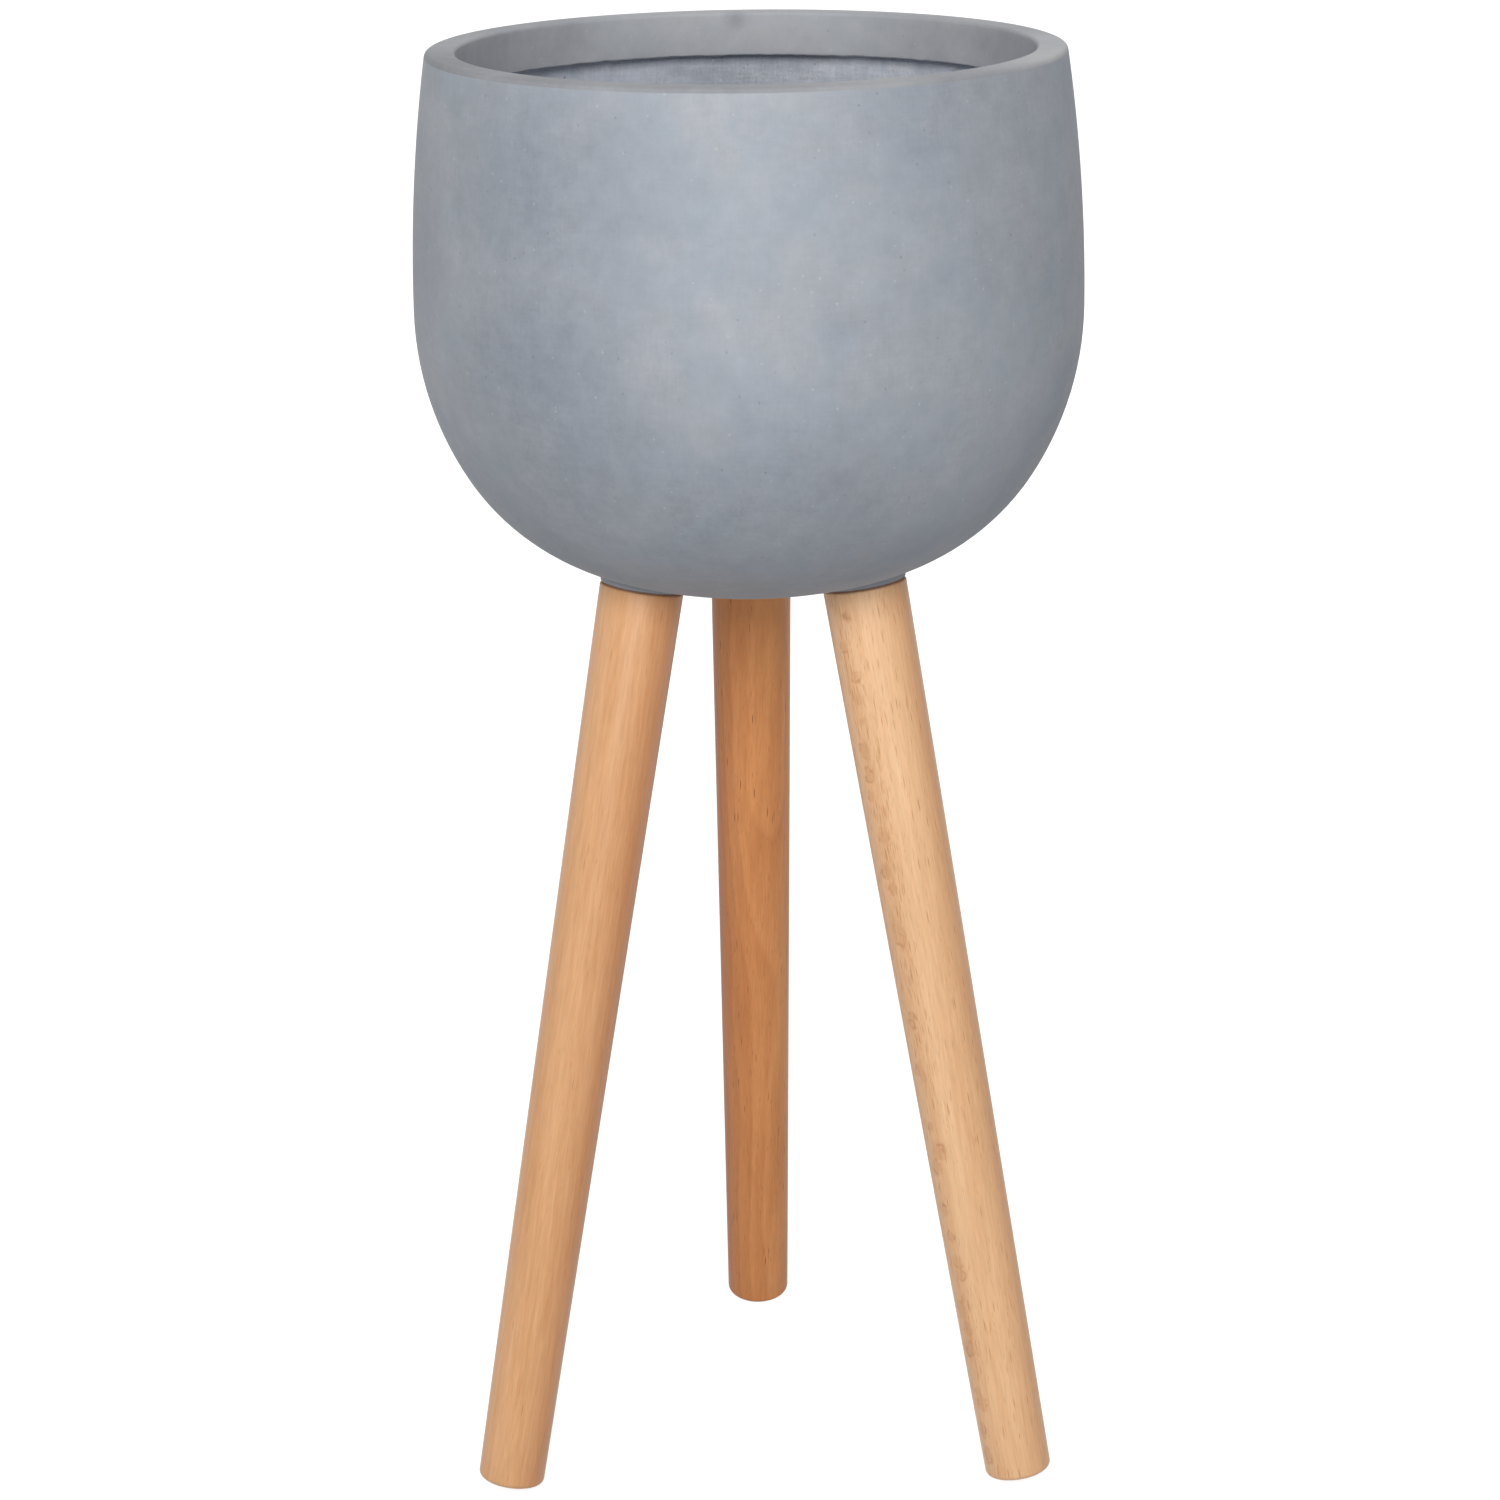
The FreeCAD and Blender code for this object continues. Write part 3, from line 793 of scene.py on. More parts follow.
def noise(vector, scale, detail=3.0, roughness=0.5, offset=0.0):
    """Noise, mostly within its span. The offset moves on to another part of the noise."""
    values = {"Vector": vector, "Scale": scale, "W": offset, "Detail": detail, "Roughness": roughness}
    return Output(add(vector.tree, "ShaderNodeTexNoise", values, noise_dimensions="4D").outputs[0])


def cells(socket, value, scale, **settings):
    """Scattered cells: how far the middle of the nearest is, and three lots drawn for it."""
    node = add(value.tree, "ShaderNodeTexVoronoi", {socket: value, "Scale": scale}, **settings)
    return Output(node.outputs["Distance"]), parted("Color", Output(node.outputs["Color"]))


def ranged(value, low, high, to_low=0.0, to_high=1.0, **settings):
    """Stretches a range of a value to another range, and clamps it there."""
    ends = (value, low, high, to_low, to_high)
    return Output(add(value.tree, "ShaderNodeMapRange", ends, clamp=True, **settings).outputs[0])


def stretched(vector, across, along):
    """A pattern's place, stretched or squeezed across and along the upright."""
    return vector_maths("MULTIPLY", vector, (across, across, along))


def mixed(share, first, second):
    """A blend of two colours by a share."""
    node = add(share.tree, "ShaderNodeMix", {0: share, 6: first, 7: second}, data_type="RGBA")
    return Output(node.outputs[2])


def lightened(colour, value):
    """A colour made lighter or darker by a factor."""
    node = add(colour.tree, "ShaderNodeHueSaturation", {"Color": colour, "Value": value})
    return Output(node.outputs[0])


# %% Node groups
def new_group(name, inputs, build):
    """A node group with named sockets, which its builder fills with nodes."""
    tree = bpy.data.node_groups.new(name, "ShaderNodeTree")
    for socket, kind in inputs.items():
        tree.interface.new_socket(name=socket, in_out="INPUT", socket_type=f"NodeSocket{kind}")
    for socket, kind in {"Color": "Color", "Roughness": "Float", "Height": "Float"}.items():
        tree.interface.new_socket(name=socket, in_out="OUTPUT", socket_type=f"NodeSocket{kind}")
    given = {socket.name: Output(socket) for socket in tree.nodes.new("NodeGroupInput").outputs}
    add(tree, "NodeGroupOutput", build(given))
    print(f"group {name} of {len(tree.nodes)} nodes")
    return tree


# %% [markdown]
# Cast cement.
# The outside of the bowl is cement, tinted blue-grey and rubbed smooth: broad soft clouds
# where the tint dried unevenly, a faint cross-hatching from rubbing it down, and here and
# there a pale grain or a pinhole. On top of these the group lays painted shade: darker
# patches where the bowl turns away from the light, below it and inside it, with the rubbing
# showing more in them. The same group, with other amounts, serves for the rim and for the
# inside, so the three finishes belong together.

# %% The cement group
BLOTCH_SCALE = 85.0
RUB_UP_SCALE, RUB_UP_SQUEEZE = 620.0, 0.12
RUB_ACROSS_SCALE, RUB_ACROSS_SQUEEZE = 560.0, 0.14
TOOTH_SCALE = 760.0
COOL_SPAN = (0.40, 0.64)
WARM_SPAN = (0.47, 0.68)
SHADE_AND_MARK_RAGGED = (1.1, 0.9)
RUBBED_HERE = (0.35, 0.65, 0.3, 1.5)
RUBBED_UNDER_SHADE_AND_MARKS = (0.0, 1.0, 1.0, 1.5)
LUMP_CONTRAST = 0.32
PORE_SCALE = 240.0
PORE_EDGE = (0.10, 0.22)
GRAIN_LOTS = (0.90, 0.92)
PINHOLE_LOTS = (0.93, 0.95)
PINHOLE_CONTRAST = 0.35
CEMENT_ROUGHNESS = (0.74, 0.92)


def build_cement(given):
    """Clouds of tint, painted shade in patches, rubbing marks both ways, pale grains and pinholes."""
    vector = given["Vector"]
    clouds = noise(vector, given["Cloud Scale"], detail=4.0, roughness=0.55, offset=1.3)
    drift = noise(vector, given["Cloud Scale"], detail=5.0, roughness=0.6, offset=7.9)
    blotches = noise(vector, BLOTCH_SCALE, detail=5.0, roughness=0.65, offset=3.1)
    rub_up = noise(stretched(vector, 1.0, RUB_UP_SQUEEZE), RUB_UP_SCALE, offset=2.2)
    rub_across = noise(stretched(vector, RUB_ACROSS_SQUEEZE, 1.0), RUB_ACROSS_SCALE, offset=5.4)
    tooth = noise(vector, TOOTH_SCALE, detail=2.0, roughness=0.6, offset=6.6)

    cool_share = ranged(clouds, *COOL_SPAN) * given["Cloud Amount"]
    warm_share = ranged(drift, *WARM_SPAN) * given["Cloud Amount"]
    # Painted shade: the patches lay a darker tone on the cement, ragged at their edges.
    shade_and_mark_share = given["Shade And Marks"] * ranged(blotches, *NOISE_SPAN, *SHADE_AND_MARK_RAGGED)
    colour = mixed(cool_share, given["Main"], given["Cool"])
    colour = mixed(warm_share, colour, given["Warm"])
    colour = mixed(shade_and_mark_share, colour, given["Shade And Mark Tone"])

    rubbing = (rub_up + rub_across + tooth - 1.5) * ranged(drift, *RUBBED_HERE)
    rubbing = rubbing * given["Rub Amount"] * ranged(given["Shade And Marks"], *RUBBED_UNDER_SHADE_AND_MARKS)
    colour = lightened(colour, (blotches - 0.5) * LUMP_CONTRAST + rubbing + 1.0)

    distance, lots = cells("Vector", vector, PORE_SCALE)
    dot = ranged(distance, *PORE_EDGE, 1.0, 0.0)
    grain = dot * ranged(lots[0], *GRAIN_LOTS) * given["Grain Amount"]
    pinhole = dot * ranged(lots[1], *PINHOLE_LOTS) * given["Pinhole Amount"]
    colour = mixed(grain, colour, given["Grain"])
    colour = lightened(colour, 1.0 - pinhole * PINHOLE_CONTRAST)
    roughness = ranged(blotches, *NOISE_SPAN, *CEMENT_ROUGHNESS)
    return colour, roughness, blotches * 0.5 + rubbing - pinhole


cement = new_group("rubbed_cement", {
    "Vector": "Vector", "Main": "Color", "Cool": "Color", "Warm": "Color", "Grain": "Color",
    "Shade And Mark Tone": "Color", "Shade And Marks": "Float", "Cloud Scale": "Float", "Cloud Amount": "Float",
    "Rub Amount": "Float", "Grain Amount": "Float", "Pinhole Amount": "Float",
}, build_cement)


# %% A material around a group
def new_finish(name, group, values, place_on=None, bump=0.0003, bump_strength=0.4):
    """A material whose colour, roughness and bump come from a group. Gives back it and its shader."""
    material = bpy.data.materials.new(name)
    material.use_nodes = True
    tree = material.node_tree
    surface = tree.nodes["Principled BSDF"]
    place = place_on(object_place(tree)) if place_on else object_place(tree)
    node = add(tree, "ShaderNodeGroup", {"Vector": place, **values}, node_tree=group)
    colour, roughness, height = [Output(output) for output in node.outputs]
    relief = add(tree, "ShaderNodeBump", {"Distance": bump, "Strength": bump_strength, "Height": height})
    feed(surface, {"Base Color": colour, "Roughness": roughness, "Normal": Output(relief.outputs[0])})
    return material, surface


# %% Patches of painted shade, and a thumb mark, each with its middle, its reach and its strength
OUTSIDE_PATCHES = {
    "upper left": ((-0.112, -0.136, 0.742), 0.124, 0.78),
    "left": ((-0.111, -0.142, 0.653), 0.129, 0.88),
    "lower left": ((-0.089, -0.149, 0.613), 0.138, 0.78),
    "upper right": ((0.103, -0.137, 0.782), 0.132, 0.62),
    "right": ((0.121, -0.132, 0.700), 0.130, 0.51),
    "lower right": ((0.084, -0.159, 0.658), 0.150, 0.48),
    "below right": ((0.037, -0.159, 0.586), 0.114, 0.74),
    "below left": ((-0.021, -0.156, 0.575), 0.119, 0.72),
    "left edge": ((-0.176, -0.032, 0.702), 0.130, 0.74),
    "top left edge": ((-0.165, -0.050, 0.790), 0.060, 0.35),
    "behind": ((0.060, 0.165, 0.700), 0.110, 0.6),
    "behind left": ((-0.150, 0.080, 0.600), 0.100, 0.5),
}
# On the rim, patches of painted shade at the front and at the ends of the lip, and a thumb mark.
RIM_PATCHES = {
    "left": ((-0.155, -0.060, RIM_HEIGHT), 0.130, 0.9),
    "front": ((-0.02, -0.165, RIM_HEIGHT), 0.170, 0.72),
    "front left": ((-0.100, -0.126, RIM_HEIGHT), 0.085, 0.85),
    "front right": ((0.100, -0.126, RIM_HEIGHT), 0.085, 0.65),
    "left of the lip": ((-0.105, 0.112, 0.778), 0.060, 0.55),
    "right of the lip": ((0.105, 0.112, 0.778), 0.060, 0.48),
    "left end of the lip": ((-0.135, 0.073, 0.784), 0.080, 0.45),
    "right end of the lip": ((0.135, 0.073, 0.784), 0.080, 0.45),
    "thumb mark in the lip": ((-0.004, mouth_radius, RIM_HEIGHT - 0.004), 0.010, 0.6),
}
# Inside, painted shade on the back wall under the lip.
INSIDE_PATCHES = {
    "behind, under the lip": ((0.0, 0.158, 0.745), 0.090, 0.68),
}
# How dark the painted shade on the lip is at its lower edge, and where it has faded out.
LIP_SHADE = 0.38
LIP_SHADE_TOP = RIM_HEIGHT - 0.006


def shade_and_mark_patches(tree, patches):
    """How strong the patches of painted shade and marks are at each place: full in the middle, fading out.
    """
    place = object_place(tree)
    shade_and_marks = 0.0
    for middle, reach, strength in patches.values():
        away = vector_maths("DISTANCE", place, middle)
        near = ranged(away, 0.0, reach, strength, 0.0, interpolation_type="SMOOTHSTEP")
        shade_and_marks = maths("MAXIMUM", near, shade_and_marks)
    return shade_and_marks


# %% Three cement finishes
CEMENT_GLOSS = 0.25
# Each finish's darker shade tone is the colour of its painted shade and of the thumb mark.
CEMENTS = {
    "cement_outside": (OUTSIDE_PATCHES, {"bump": 0.0002}, {
        "Main": paint(178, 182, 189), "Cool": paint(162, 172, 183), "Warm": paint(182, 182, 188),
        "Shade And Mark Tone": paint(144, 151, 161), "Grain": paint(212, 216, 222), "Cloud Scale": 21.0,
        "Cloud Amount": 0.75, "Rub Amount": 0.09, "Grain Amount": 0.28, "Pinhole Amount": 0.5,
    }),
    "cement_rim": (RIM_PATCHES, {"bump": 0.00012}, {
        "Main": paint(178, 180, 184), "Cool": paint(167, 170, 175), "Warm": paint(185, 185, 186),
        "Shade And Mark Tone": paint(141, 143, 148), "Grain": paint(200, 200, 198), "Cloud Scale": 16.0,
        "Cloud Amount": 0.7, "Rub Amount": 0.02, "Grain Amount": 0.3, "Pinhole Amount": 0.4,
    }),
    "cement_inside": (INSIDE_PATCHES, {"bump": 0.0008, "bump_strength": 0.8}, {
        "Main": paint(196, 200, 209), "Cool": paint(178, 184, 193), "Warm": paint(202, 203, 208),
        "Shade And Mark Tone": paint(150, 155, 163), "Grain": paint(214, 217, 223), "Cloud Scale": 60.0,
        "Cloud Amount": 1.0, "Rub Amount": 0.3, "Grain Amount": 0.8, "Pinhole Amount": 1.0,
    }),
}
for name, (patches, relief, values) in CEMENTS.items():
    finish, surface = new_finish(name, cement, values, **relief)
    feed(surface, {"Specular IOR Level": CEMENT_GLOSS})
    shade_and_marks = shade_and_mark_patches(finish.node_tree, patches)
    # On the rim the lip is painted darker towards its lower edge: painted shade under the rim.
    if patches is RIM_PATCHES:
        level = parted("XYZ", object_place(finish.node_tree))[2]
        shade_and_marks = maths("MAXIMUM", shade_and_marks, ranged(level, LIP_EDGE_HEIGHT, LIP_SHADE_TOP, LIP_SHADE, 0.0))
    feed(finish.node_tree.nodes["Group"], {"Shade And Marks": shade_and_marks})
    bowl.data.materials.append(finish)
print("cement finishes:", ", ".join(bowl.data.materials.keys()))

# %% [markdown]
# Which face of the bowl has which finish.
# The three finishes meet at real edges: the rounding of the rim, and the lower edge of the
# lip. So each face is given its material by where it lies and which way it looks.

# %% Hand out the cement finishes
OUTSIDE, RIM, INSIDE = 0, 1, 2
RIM_SLOPE = math.sin(math.radians(14))


def finish_of(centre, normal):
    """Which of the three finishes a face of the bowl has."""
    distance = math.hypot(centre.x, centre.y)
    height = centre.z
    if height > RIM_HEIGHT - RIM_OUTER_ROUND and normal.z > RIM_SLOPE:
        return RIM
    if height > LIP_EDGE_HEIGHT and distance < (mouth_radius + rim_radius) / 2:
        return RIM
    if height > LIP_EDGE_HEIGHT - UNDERCUT_RISE:
        looks_out = normal.x * centre.x + normal.y * centre.y > 0
        return OUTSIDE if looks_out and distance > rim_radius - WALL / 2 else INSIDE
    wall_distance = inner_wall_distance(height)
    if wall_distance:
        return INSIDE if distance < wall_distance + WALL / 2 else OUTSIDE
    turn = math.degrees(math.atan2(flank_centre[1] - height, distance - flank_centre[0]))
    middle, radius = (base_centre, base_radius) if turn > FLANK_TURN else (flank_centre, flank_radius)
    return INSIDE if math.dist((distance, height), middle) < radius - WALL / 2 else OUTSIDE


counts = [0, 0, 0]
for face in bowl.data.polygons:
    face.material_index = finish_of(face.center, face.normal)
    counts[face.material_index] += 1
print(f"faces outside {counts[0]}, on the rim and lip {counts[1]}, inside {counts[2]}")

# %% [markdown]
# Beech.
# The legs are lacquered beech. Its growth rings are faint, and the taper cuts them at a low
# angle, which draws long flames on the face. What marks beech is its rays: short dark
# dashes along the grain. The pattern is a solid block of wood in each leg's own directions,
# with the heart of the tree beside the leg, so sides and end grain agree. The three legs
# come from different boards, and each has its own tones. The side of each leg nearest the
# heart is painted darker and redder: painted shade on the side that faces away from the
# light. One was cut close to a knot: it has a row of small brown loops down one side, and
# the rays crowd together beside them.

# %% Rays and curls
RAY_STRENGTH = (0.4, 1.0)
CURLS_PER_METRE = 62.0
CURL_SQUEEZE = 0.8
CURL_STRAY = 0.003
CURL_RADII = (0.0018, 0.0040)
CURL_WOBBLE = 1.7
CURL_WOBBLE_SCALE = 280.0
CURL_GAP_SCALE = 200.0
CURL_GAPS = (0.38, 0.62)
LOOP_INNER_EDGE = (0.55, 0.9)
LOOP_OUTER_EDGE = (0.95, 1.5, 1.0, 0.0)
LOOP_SHADE = (0.8, 1.5, 0.36, 0.0)


def joined(*parts):
    """A vector of up to three values."""
    return Output(add(tree_of(parts), "ShaderNodeCombineXYZ", parts).outputs[0])


def rays(vector, across, along, edge, share):
    """Short dashes along the grain: stretched cells, of which a share is kept."""
    distance, lots = cells("Vector", stretched(vector, across, along), 1.0)
    kept = maths("LESS_THAN", lots[0], share)
    return ranged(distance, *edge, 1.0, 0.0) * kept * ranged(lots[1], 0.0, 1.0, *RAY_STRENGTH)


def curls(given, flat):
    """Small open loops in a row, each with its own height, size and place aside, brown within."""
    level = parted("XYZ", given["Vector"])[2]
    distance, lots = cells("W", level, CURLS_PER_METRE, voronoi_dimensions="1D")
    stray = joined(0.0, ranged(lots[2], 0.0, 1.0, -CURL_STRAY, CURL_STRAY))
    aside = vector_maths("DISTANCE", flat, vector_maths("ADD", given["Curl Place"], stray))
    away = vector_maths("LENGTH", joined(aside, distance * (CURL_SQUEEZE / CURLS_PER_METRE)))
    wobble = noise(given["Vector"], CURL_WOBBLE_SCALE, detail=2.0, offset=3.6)
    reach = away / ranged(lots[1], 0.0, 1.0, *CURL_RADII) + (wobble - 0.5) * CURL_WOBBLE
    loop = ranged(reach, *LOOP_INNER_EDGE) * ranged(reach, *LOOP_OUTER_EDGE)
    opened = ranged(noise(given["Vector"], CURL_GAP_SCALE, detail=1.0, offset=8.2), *CURL_GAPS)
    return maths("MAXIMUM", loop * opened, ranged(reach, *LOOP_SHADE))


# %% The beech group, its patterns given by their scale and how they are drawn out
SWAY = (14.0, 0.3)
BAND = (75.0, 0.08)
STREAK = (400.0, 0.065)
FIBRE = (1300.0, 0.05)
RAY_GROUPS = (60.0, 0.3)
RAY_GROUP_SPAN = (0.34, 0.52)
LARGE_RAYS = (1000.0, 78.0, (0.20, 0.37))
SMALL_RAYS = (1500.0, 150.0, (0.20, 0.38))
SMALL_RAY_DEPTH = 0.6
RAYS_BY_CURLS = (0.006, 0.014, 2.2, 0.75)
RING_SWAY = 6.0
RING_RISE = (0.1, 0.8)
RING_FALL = (0.84, 1.0, 1.0, 0.0)
BAND_TONES = (0.0, 0.5)
FIBRE_TONES = (0.92, 1.08)
SHADED_SIDE_EDGE = 0.03
SHADED_SIDE_DEPTH = 0.75
BEECH_ROUGHNESS = (0.4, 0.55)
GRAIN_RELIEF = 0.3


def drawn_out(board, scale, squeeze, **amounts):
    """Noise drawn out along the grain."""
    return noise(stretched(board, 1.0, squeeze), scale, **amounts)


def build_beech(given):
    """Growth rings about the heart of the tree, long streaks, fine fibres, rays, curls, and painted shade
    on one side.
    """
    board = vector_maths("ADD", given["Vector"], joined(*[given["Board"]] * 3))
    flat = stretched(given["Vector"], 1.0, 0.0)
    from_heart = vector_maths("LENGTH", flat)
    sway = drawn_out(board, *SWAY, detail=2.0, offset=4.4)
    band = drawn_out(board, *BAND, detail=2.0, offset=9.0)
    streak = drawn_out(board, *STREAK, detail=4.0, roughness=0.65)
    fibre = drawn_out(board, *FIBRE, detail=2.0, roughness=0.6)

    ring = maths("FRACT", from_heart * given["Ring Scale"] + sway * RING_SWAY)
    ring = ranged(ring, *RING_RISE) * ranged(ring, *RING_FALL)
    tone = ring * given["Ring Contrast"] + ranged(band, *NOISE_SPAN, *BAND_TONES)
    tone = tone + (streak - 0.5) * given["Streak Contrast"]
    colour = mixed(tone, given["Pale"], given["Dark"])
    # Painted shade: the side of the leg nearest the heart gets a darker, redder tone.
    shaded_side = ranged(given["Heart Reach"] - from_heart, 0.0, SHADED_SIDE_EDGE)
    colour = mixed(shaded_side * SHADED_SIDE_DEPTH, colour, given["Heart Tone"])
    colour = lightened(colour, ranged(fibre, *NOISE_SPAN, *FIBRE_TONES))

    groups = ranged(drawn_out(board, *RAY_GROUPS, offset=2.0), *RAY_GROUP_SPAN)
    from_curls = vector_maths("DISTANCE", flat, given["Curl Place"])
    share = groups * ranged(from_curls, *RAYS_BY_CURLS) * given["Ray Share"]
    large = rays(board, *LARGE_RAYS, share)
    small = rays(board, *SMALL_RAYS, share)
    dash = maths("MAXIMUM", large, small * SMALL_RAY_DEPTH) * given["Ray Depth"]
    dash = maths("MAXIMUM", dash, curls(given, flat) * given["Curl Depth"])
    colour = mixed(dash, colour, given["Ray"])
    return colour, ranged(fibre, *NOISE_SPAN, *BEECH_ROUGHNESS), (fibre - dash) * GRAIN_RELIEF


beech = new_group("lacquered_beech", {
    "Vector": "Vector", "Pale": "Color", "Dark": "Color", "Ray": "Color", "Ring Scale": "Float",
    "Ring Contrast": "Float", "Streak Contrast": "Float", "Ray Share": "Float",
    "Ray Depth": "Float", "Board": "Float", "Heart Tone": "Color", "Heart Reach": "Float",
    "Curl Place": "Vector", "Curl Depth": "Float",
}, build_beech)


# %% Three boards of beech
def mapped(place, kind, location, rotation):
    """A place, moved and turned by a Mapping node."""
    values = {"Vector": place, "Location": location, "Rotation": rotation}
    return Output(add(place.tree, "ShaderNodeMapping", values, vector_type=kind).outputs["Vector"])


def along_leg(leg, heart, tilt):
    """Turns the pattern to the leg, and sets the heart of the tree beside it, a little askew."""
    turn, splay = leg_turn_and_splay(leg)
    seat = joints[f"leg_{leg}_unscrew"]["pos_m"]

    def place_on(place):
        return mapped(mapped(place, "TEXTURE", seat, Euler((splay, 0, turn))), "POINT", heart, tilt)

    return place_on


# Each board's shaded side tone is the colour of the painted shade on that leg's darker side.
BOARDS = {
    "front_left": {
        "heart": (0.027, 0.047, 0.0), "tilt": (0.012, 0.02, 0.0), "coat": 0.35, "gloss": 0.25,
        "Pale": paint(230, 177, 130), "Dark": paint(202, 142, 90), "Ray": paint(160, 100, 60),
        "Ring Scale": 260.0, "Ring Contrast": 0.12, "Streak Contrast": 1.2, "Ray Share": 0.067,
        "Ray Depth": 0.5, "Board": 0.31, "Heart Tone": paint(200, 128, 78), "Heart Reach": 0.062,
    },
    "front_right": {
        "heart": (0.025, -0.0435, 0.0), "tilt": (0.008, -0.006, 0.0), "coat": 0.3, "gloss": 0.25,
        "Pale": paint(244, 199, 154), "Dark": paint(218, 162, 112), "Ray": paint(178, 108, 60),
        "Ring Scale": 230.0, "Ring Contrast": 0.12, "Streak Contrast": 0.9, "Ray Share": 0.33,
        "Ray Depth": 0.64, "Board": 1.73, "Heart Tone": paint(208, 142, 88), "Heart Reach": 0.052,
        "Curl Place": (0.0457, -0.0472, 0.0), "Curl Depth": 0.55,
    },
    "rear": {
        "heart": (0.035, -0.04, 0.0), "tilt": (0.035, -0.03, 0.0), "coat": 0.02, "gloss": 0.2,
        "Pale": paint(226, 158, 102), "Dark": paint(194, 124, 74), "Ray": paint(126, 70, 40),
        "Ring Scale": 150.0, "Ring Contrast": 0.3, "Streak Contrast": 0.8, "Ray Share": 0.093,
        "Ray Depth": 0.8, "Board": 2.93, "Heart Tone": paint(166, 98, 62), "Heart Reach": 0.066,
    },
}
COAT_ROUGHNESS = 0.4
for leg, board in BOARDS.items():
    values = {socket: value for socket, value in board.items() if socket[0].isupper()}
    place_on = along_leg(leg, board["heart"], board["tilt"])
    wood, surface = new_finish(f"beech_{leg}", beech, values, place_on, bump=0.00008, bump_strength=0.5)
    feed(surface, {
        "Coat Weight": board["coat"], "Coat Roughness": COAT_ROUGHNESS,
        "Specular IOR Level": board["gloss"],
    })
    pieces["leg", leg].data.materials.append(wood)
print("beech on", ", ".join(BOARDS))

# %% [markdown]
# Zinc, fibre and rubber.
# The small parts show little until a leg or the bung is taken out. The steel is zinc plated,
# with a fine sheen and duller patches. The washer is pressed brown fibre, which looks dark
# only because it lies in the shade of its joint. The bung is rubber with a bloom of cement
# dust in patches.

# %% A group for plain worked surfaces
PATCH_SPAN = (0.42, 0.66)
TOOTH_TONES = (0.9, 1.1)


def build_worked(given):
    """A main tone with patches of another, and a fine tooth."""
    patches = noise(given["Vector"], given["Patch Scale"], detail=4.0, roughness=0.6, offset=6.0)
    tooth = noise(given["Vector"], given["Fine Scale"], detail=3.0, roughness=0.7, offset=0.5)
    share = ranged(patches, *PATCH_SPAN)
    colour = mixed(share, given["Main"], given["Patch"])
    colour = lightened(colour, ranged(tooth, *NOISE_SPAN, *TOOTH_TONES))
    return colour, ranged(share, 0.0, 1.0, given["Smooth"], given["Rough"]), tooth


worked = new_group("worked_surface", {
    "Vector": "Vector", "Main": "Color", "Patch": "Color", "Patch Scale": "Float",
    "Fine Scale": "Float", "Smooth": "Float", "Rough": "Float",
}, build_worked)

# %% Small finishes
zinc, surface = new_finish("zinc_plate", worked, {
    "Main": paint(206, 208, 206), "Patch": paint(186, 184, 172), "Patch Scale": 420.0,
    "Fine Scale": 3200.0, "Smooth": 0.28, "Rough": 0.48,
}, bump=0.00002, bump_strength=0.3)
feed(surface, {"Metallic": 1.0})
fibre_board, surface = new_finish("pressed_fibre", worked, {
    "Main": paint(142, 112, 96), "Patch": paint(156, 126, 108), "Patch Scale": 300.0,
    "Fine Scale": 1800.0, "Smooth": 0.78, "Rough": 0.92,
}, bump=0.00008)
rubber, surface = new_finish("dusty_rubber", worked, {
    "Main": paint(42, 43, 45), "Patch": paint(86, 87, 88), "Patch Scale": 120.0,
    "Fine Scale": 1500.0, "Smooth": 0.55, "Rough": 0.85,
}, bump=0.00006)
bung.data.materials.append(rubber)
for leg in LEG_NAMES:
    pieces["bolt", leg].data.materials.append(zinc)
    pieces["insert", leg].data.materials.append(zinc)
    pieces["washer", leg].data.materials.append(fibre_board)
print("small finishes:", ", ".join([zinc.name, fibre_board.name, rubber.name]))

# %% [markdown]
# Floor and light.
# The picture is taken on plain white, and no shadow shows in it. So the floor is a mid grey,
# which throws little light up under the bowl, and it glows only for the camera and for
# reflections, which see it as white. The world is made the same way: white where it is seen,
# and an even, dim light otherwise. A large soft lamp stands in front and a weaker one behind.
# A low warm lamp behind lights only the bowl, along its left edge, as a pale wall would. A
# narrow cool one in front lights only the legs, which would be dull under the bowl.

# %% Rays that see the background
WHITE = paint(255, 255, 255)


def seen_directly(tree):
    """One for camera rays, and for reflections and what shines through; zero for the light."""
    path = {output.name: Output(output) for output in add(tree, "ShaderNodeLightPath").outputs}
    seen = maths("MAXIMUM", path["Is Camera Ray"], path["Is Glossy Ray"])
    return maths("MAXIMUM", seen, path["Is Transmission Ray"])


# %% Floor
FLOOR_SIZE = 60.0
FLOOR_GREY = paint(178, 178, 178)
FLOOR_ROUGHNESS = 0.95
FLOOR_GLOW_REACH = (0.8, 5.0)
FLOOR_GLOW = (0.84, 0.99)
bpy.ops.object.select_all(action="DESELECT")
bpy.ops.mesh.primitive_plane_add(size=FLOOR_SIZE)
floor = bpy.context.active_object
floor.name = "studio_floor"
floor_finish = bpy.data.materials.new("studio_floor")
floor_finish.use_nodes = True
tree = floor_finish.node_tree
glow = ranged(vector_maths("LENGTH", object_place(tree)), *FLOOR_GLOW_REACH, *FLOOR_GLOW)
feed(tree.nodes["Principled BSDF"], {
    "Base Color": FLOOR_GREY, "Roughness": FLOOR_ROUGHNESS, "Specular IOR Level": 0.0,
    "Emission Color": WHITE, "Emission Strength": seen_directly(tree) * glow,
})
floor.data.materials.append(floor_finish)
print(f"floor {FLOOR_SIZE:.0f} metres wide")

# %% World
WORLD_LIGHT = 0.38
world = bpy.data.worlds.new("studio")
world.use_nodes = True
bpy.context.scene.world = world
strength = ranged(seen_directly(world.node_tree), 0.0, 1.0, WORLD_LIGHT, 1.0)
feed(world.node_tree.nodes["Background"], {"Color": WHITE, "Strength": strength})
print(f"the world gives {WORLD_LIGHT:.0%} of the light that it shows")

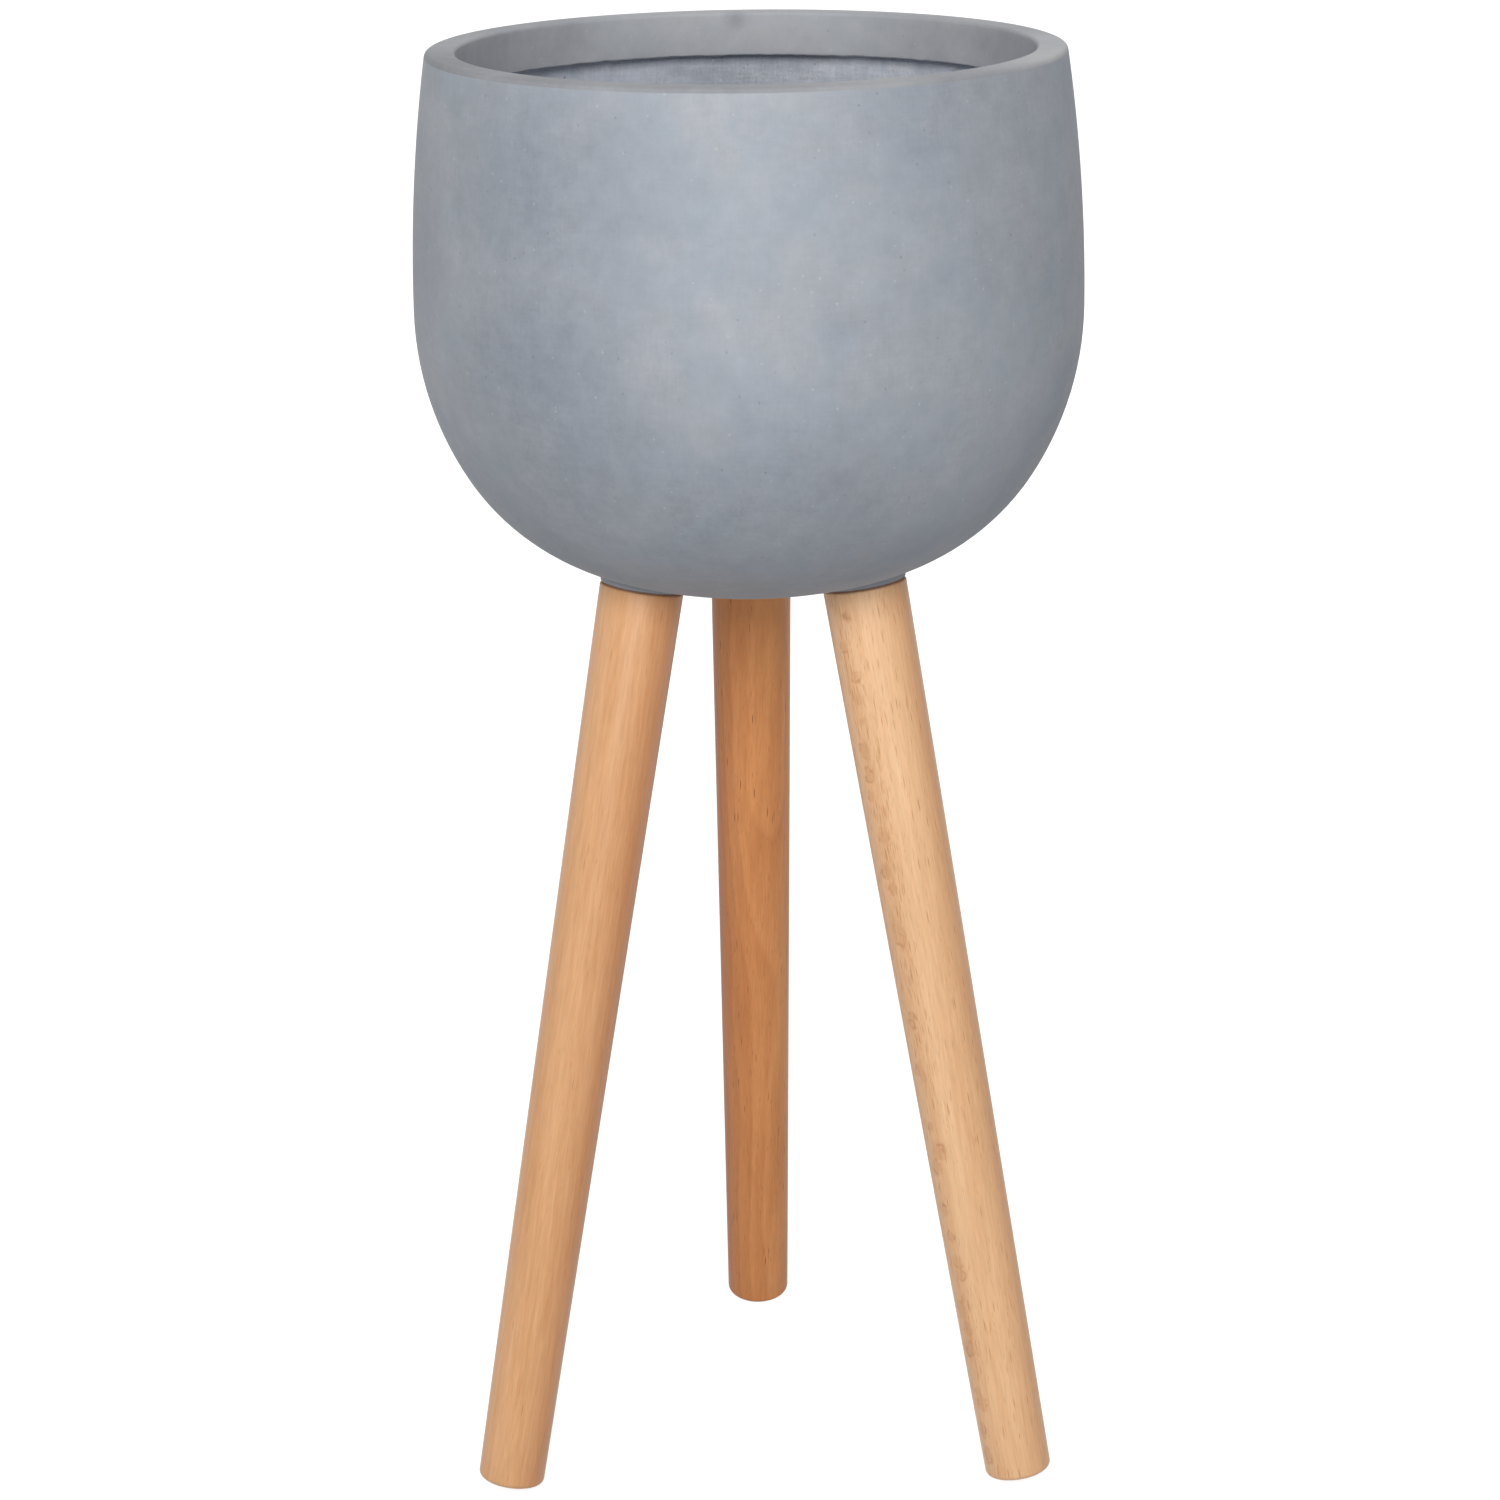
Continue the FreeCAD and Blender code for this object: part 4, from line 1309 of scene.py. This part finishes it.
# %% Lamps
AIM = Vector((0, 0, 0.5))
LEG_LAMP_SIZE = 0.12
LEG_LAMP_BEAM = math.radians(6.5)
LAMPS = {
    "front_lamp": {"place": (-0.42, -3.5, 2.45), "size": 1.5, "power": 106.0},
    "back_lamp": {"place": (1.2, 3.4, 2.4), "size": 2.2, "power": 45.0},
    "bounce_lamp": {
        "place": (-1.6, 2.2, 0.15), "size": 1.2, "power": 24.0, "colour": (1.0, 0.91, 0.82),
        "lit": [bowl],
    },
    "leg_lamp": {
        "place": (-0.3, -2.6, 0.25), "power": 44.0, "colour": (0.75, 0.9, 1.15),
        "lit": [pieces["leg", leg] for leg in LEG_NAMES],
    },
}
for name, told in LAMPS.items():
    bpy.ops.object.light_add(type="AREA" if "size" in told else "SPOT", location=told["place"])
    lamp = bpy.context.active_object
    lamp.name = name
    lamp.data.energy = told["power"]
    lamp.data.color = told.get("colour", (1.0, 1.0, 1.0))
    lamp.rotation_euler = (AIM - Vector(told["place"])).to_track_quat("-Z", "Y").to_euler()
    if "size" in told:
        lamp.data.shape = "SQUARE"
        lamp.data.size = told["size"]
    else:
        lamp.data.shadow_soft_size = LEG_LAMP_SIZE
        lamp.data.spot_size = LEG_LAMP_BEAM
        lamp.data.spot_blend = 1.0
    if "lit" in told:
        lamp.light_linking.receiver_collection = bpy.data.collections.new(name)
        for piece in told["lit"]:
            lamp.light_linking.receiver_collection.objects.link(piece)
print("lamps:", ", ".join(LAMPS))

# %% [markdown]
# The camera.
# It stands about two metres in front, a little above the rim, and looks slightly down. Its
# place and its lens were worked out from the outline of the bowl and from the ends of the
# legs in the picture.

# %% Camera
CAMERA_PLACE = Vector((-0.0238, -2.0866, 1.0494))
CAMERA_PITCH = 0.2988
CAMERA_YAW = 0.0102
CAMERA_ROLL = 0.0126
FOCAL_PIXELS = 3917.58
IMAGE_PIXELS = 1500
SENSOR_WIDTH = 36.0

forward = Vector((
    math.sin(CAMERA_YAW) * math.cos(CAMERA_PITCH),
    math.cos(CAMERA_YAW) * math.cos(CAMERA_PITCH),
    -math.sin(CAMERA_PITCH),
))
level_right = Vector((math.cos(CAMERA_YAW), -math.sin(CAMERA_YAW), 0))
level_down = forward.cross(level_right)
right = math.cos(CAMERA_ROLL) * level_right + math.sin(CAMERA_ROLL) * level_down
down = -math.sin(CAMERA_ROLL) * level_right + math.cos(CAMERA_ROLL) * level_down
directions = Matrix((right, -down, -forward)).transposed().to_4x4()
bpy.ops.object.camera_add(location=CAMERA_PLACE)
camera = bpy.context.active_object
camera.matrix_world = Matrix.Translation(CAMERA_PLACE) @ directions
camera.data.sensor_width = SENSOR_WIDTH
camera.data.lens = FOCAL_PIXELS / IMAGE_PIXELS * SENSOR_WIDTH
bpy.context.scene.camera = camera
bpy.context.scene.view_settings.view_transform = "Standard"
print(f"lens {camera.data.lens:.2f} mm")
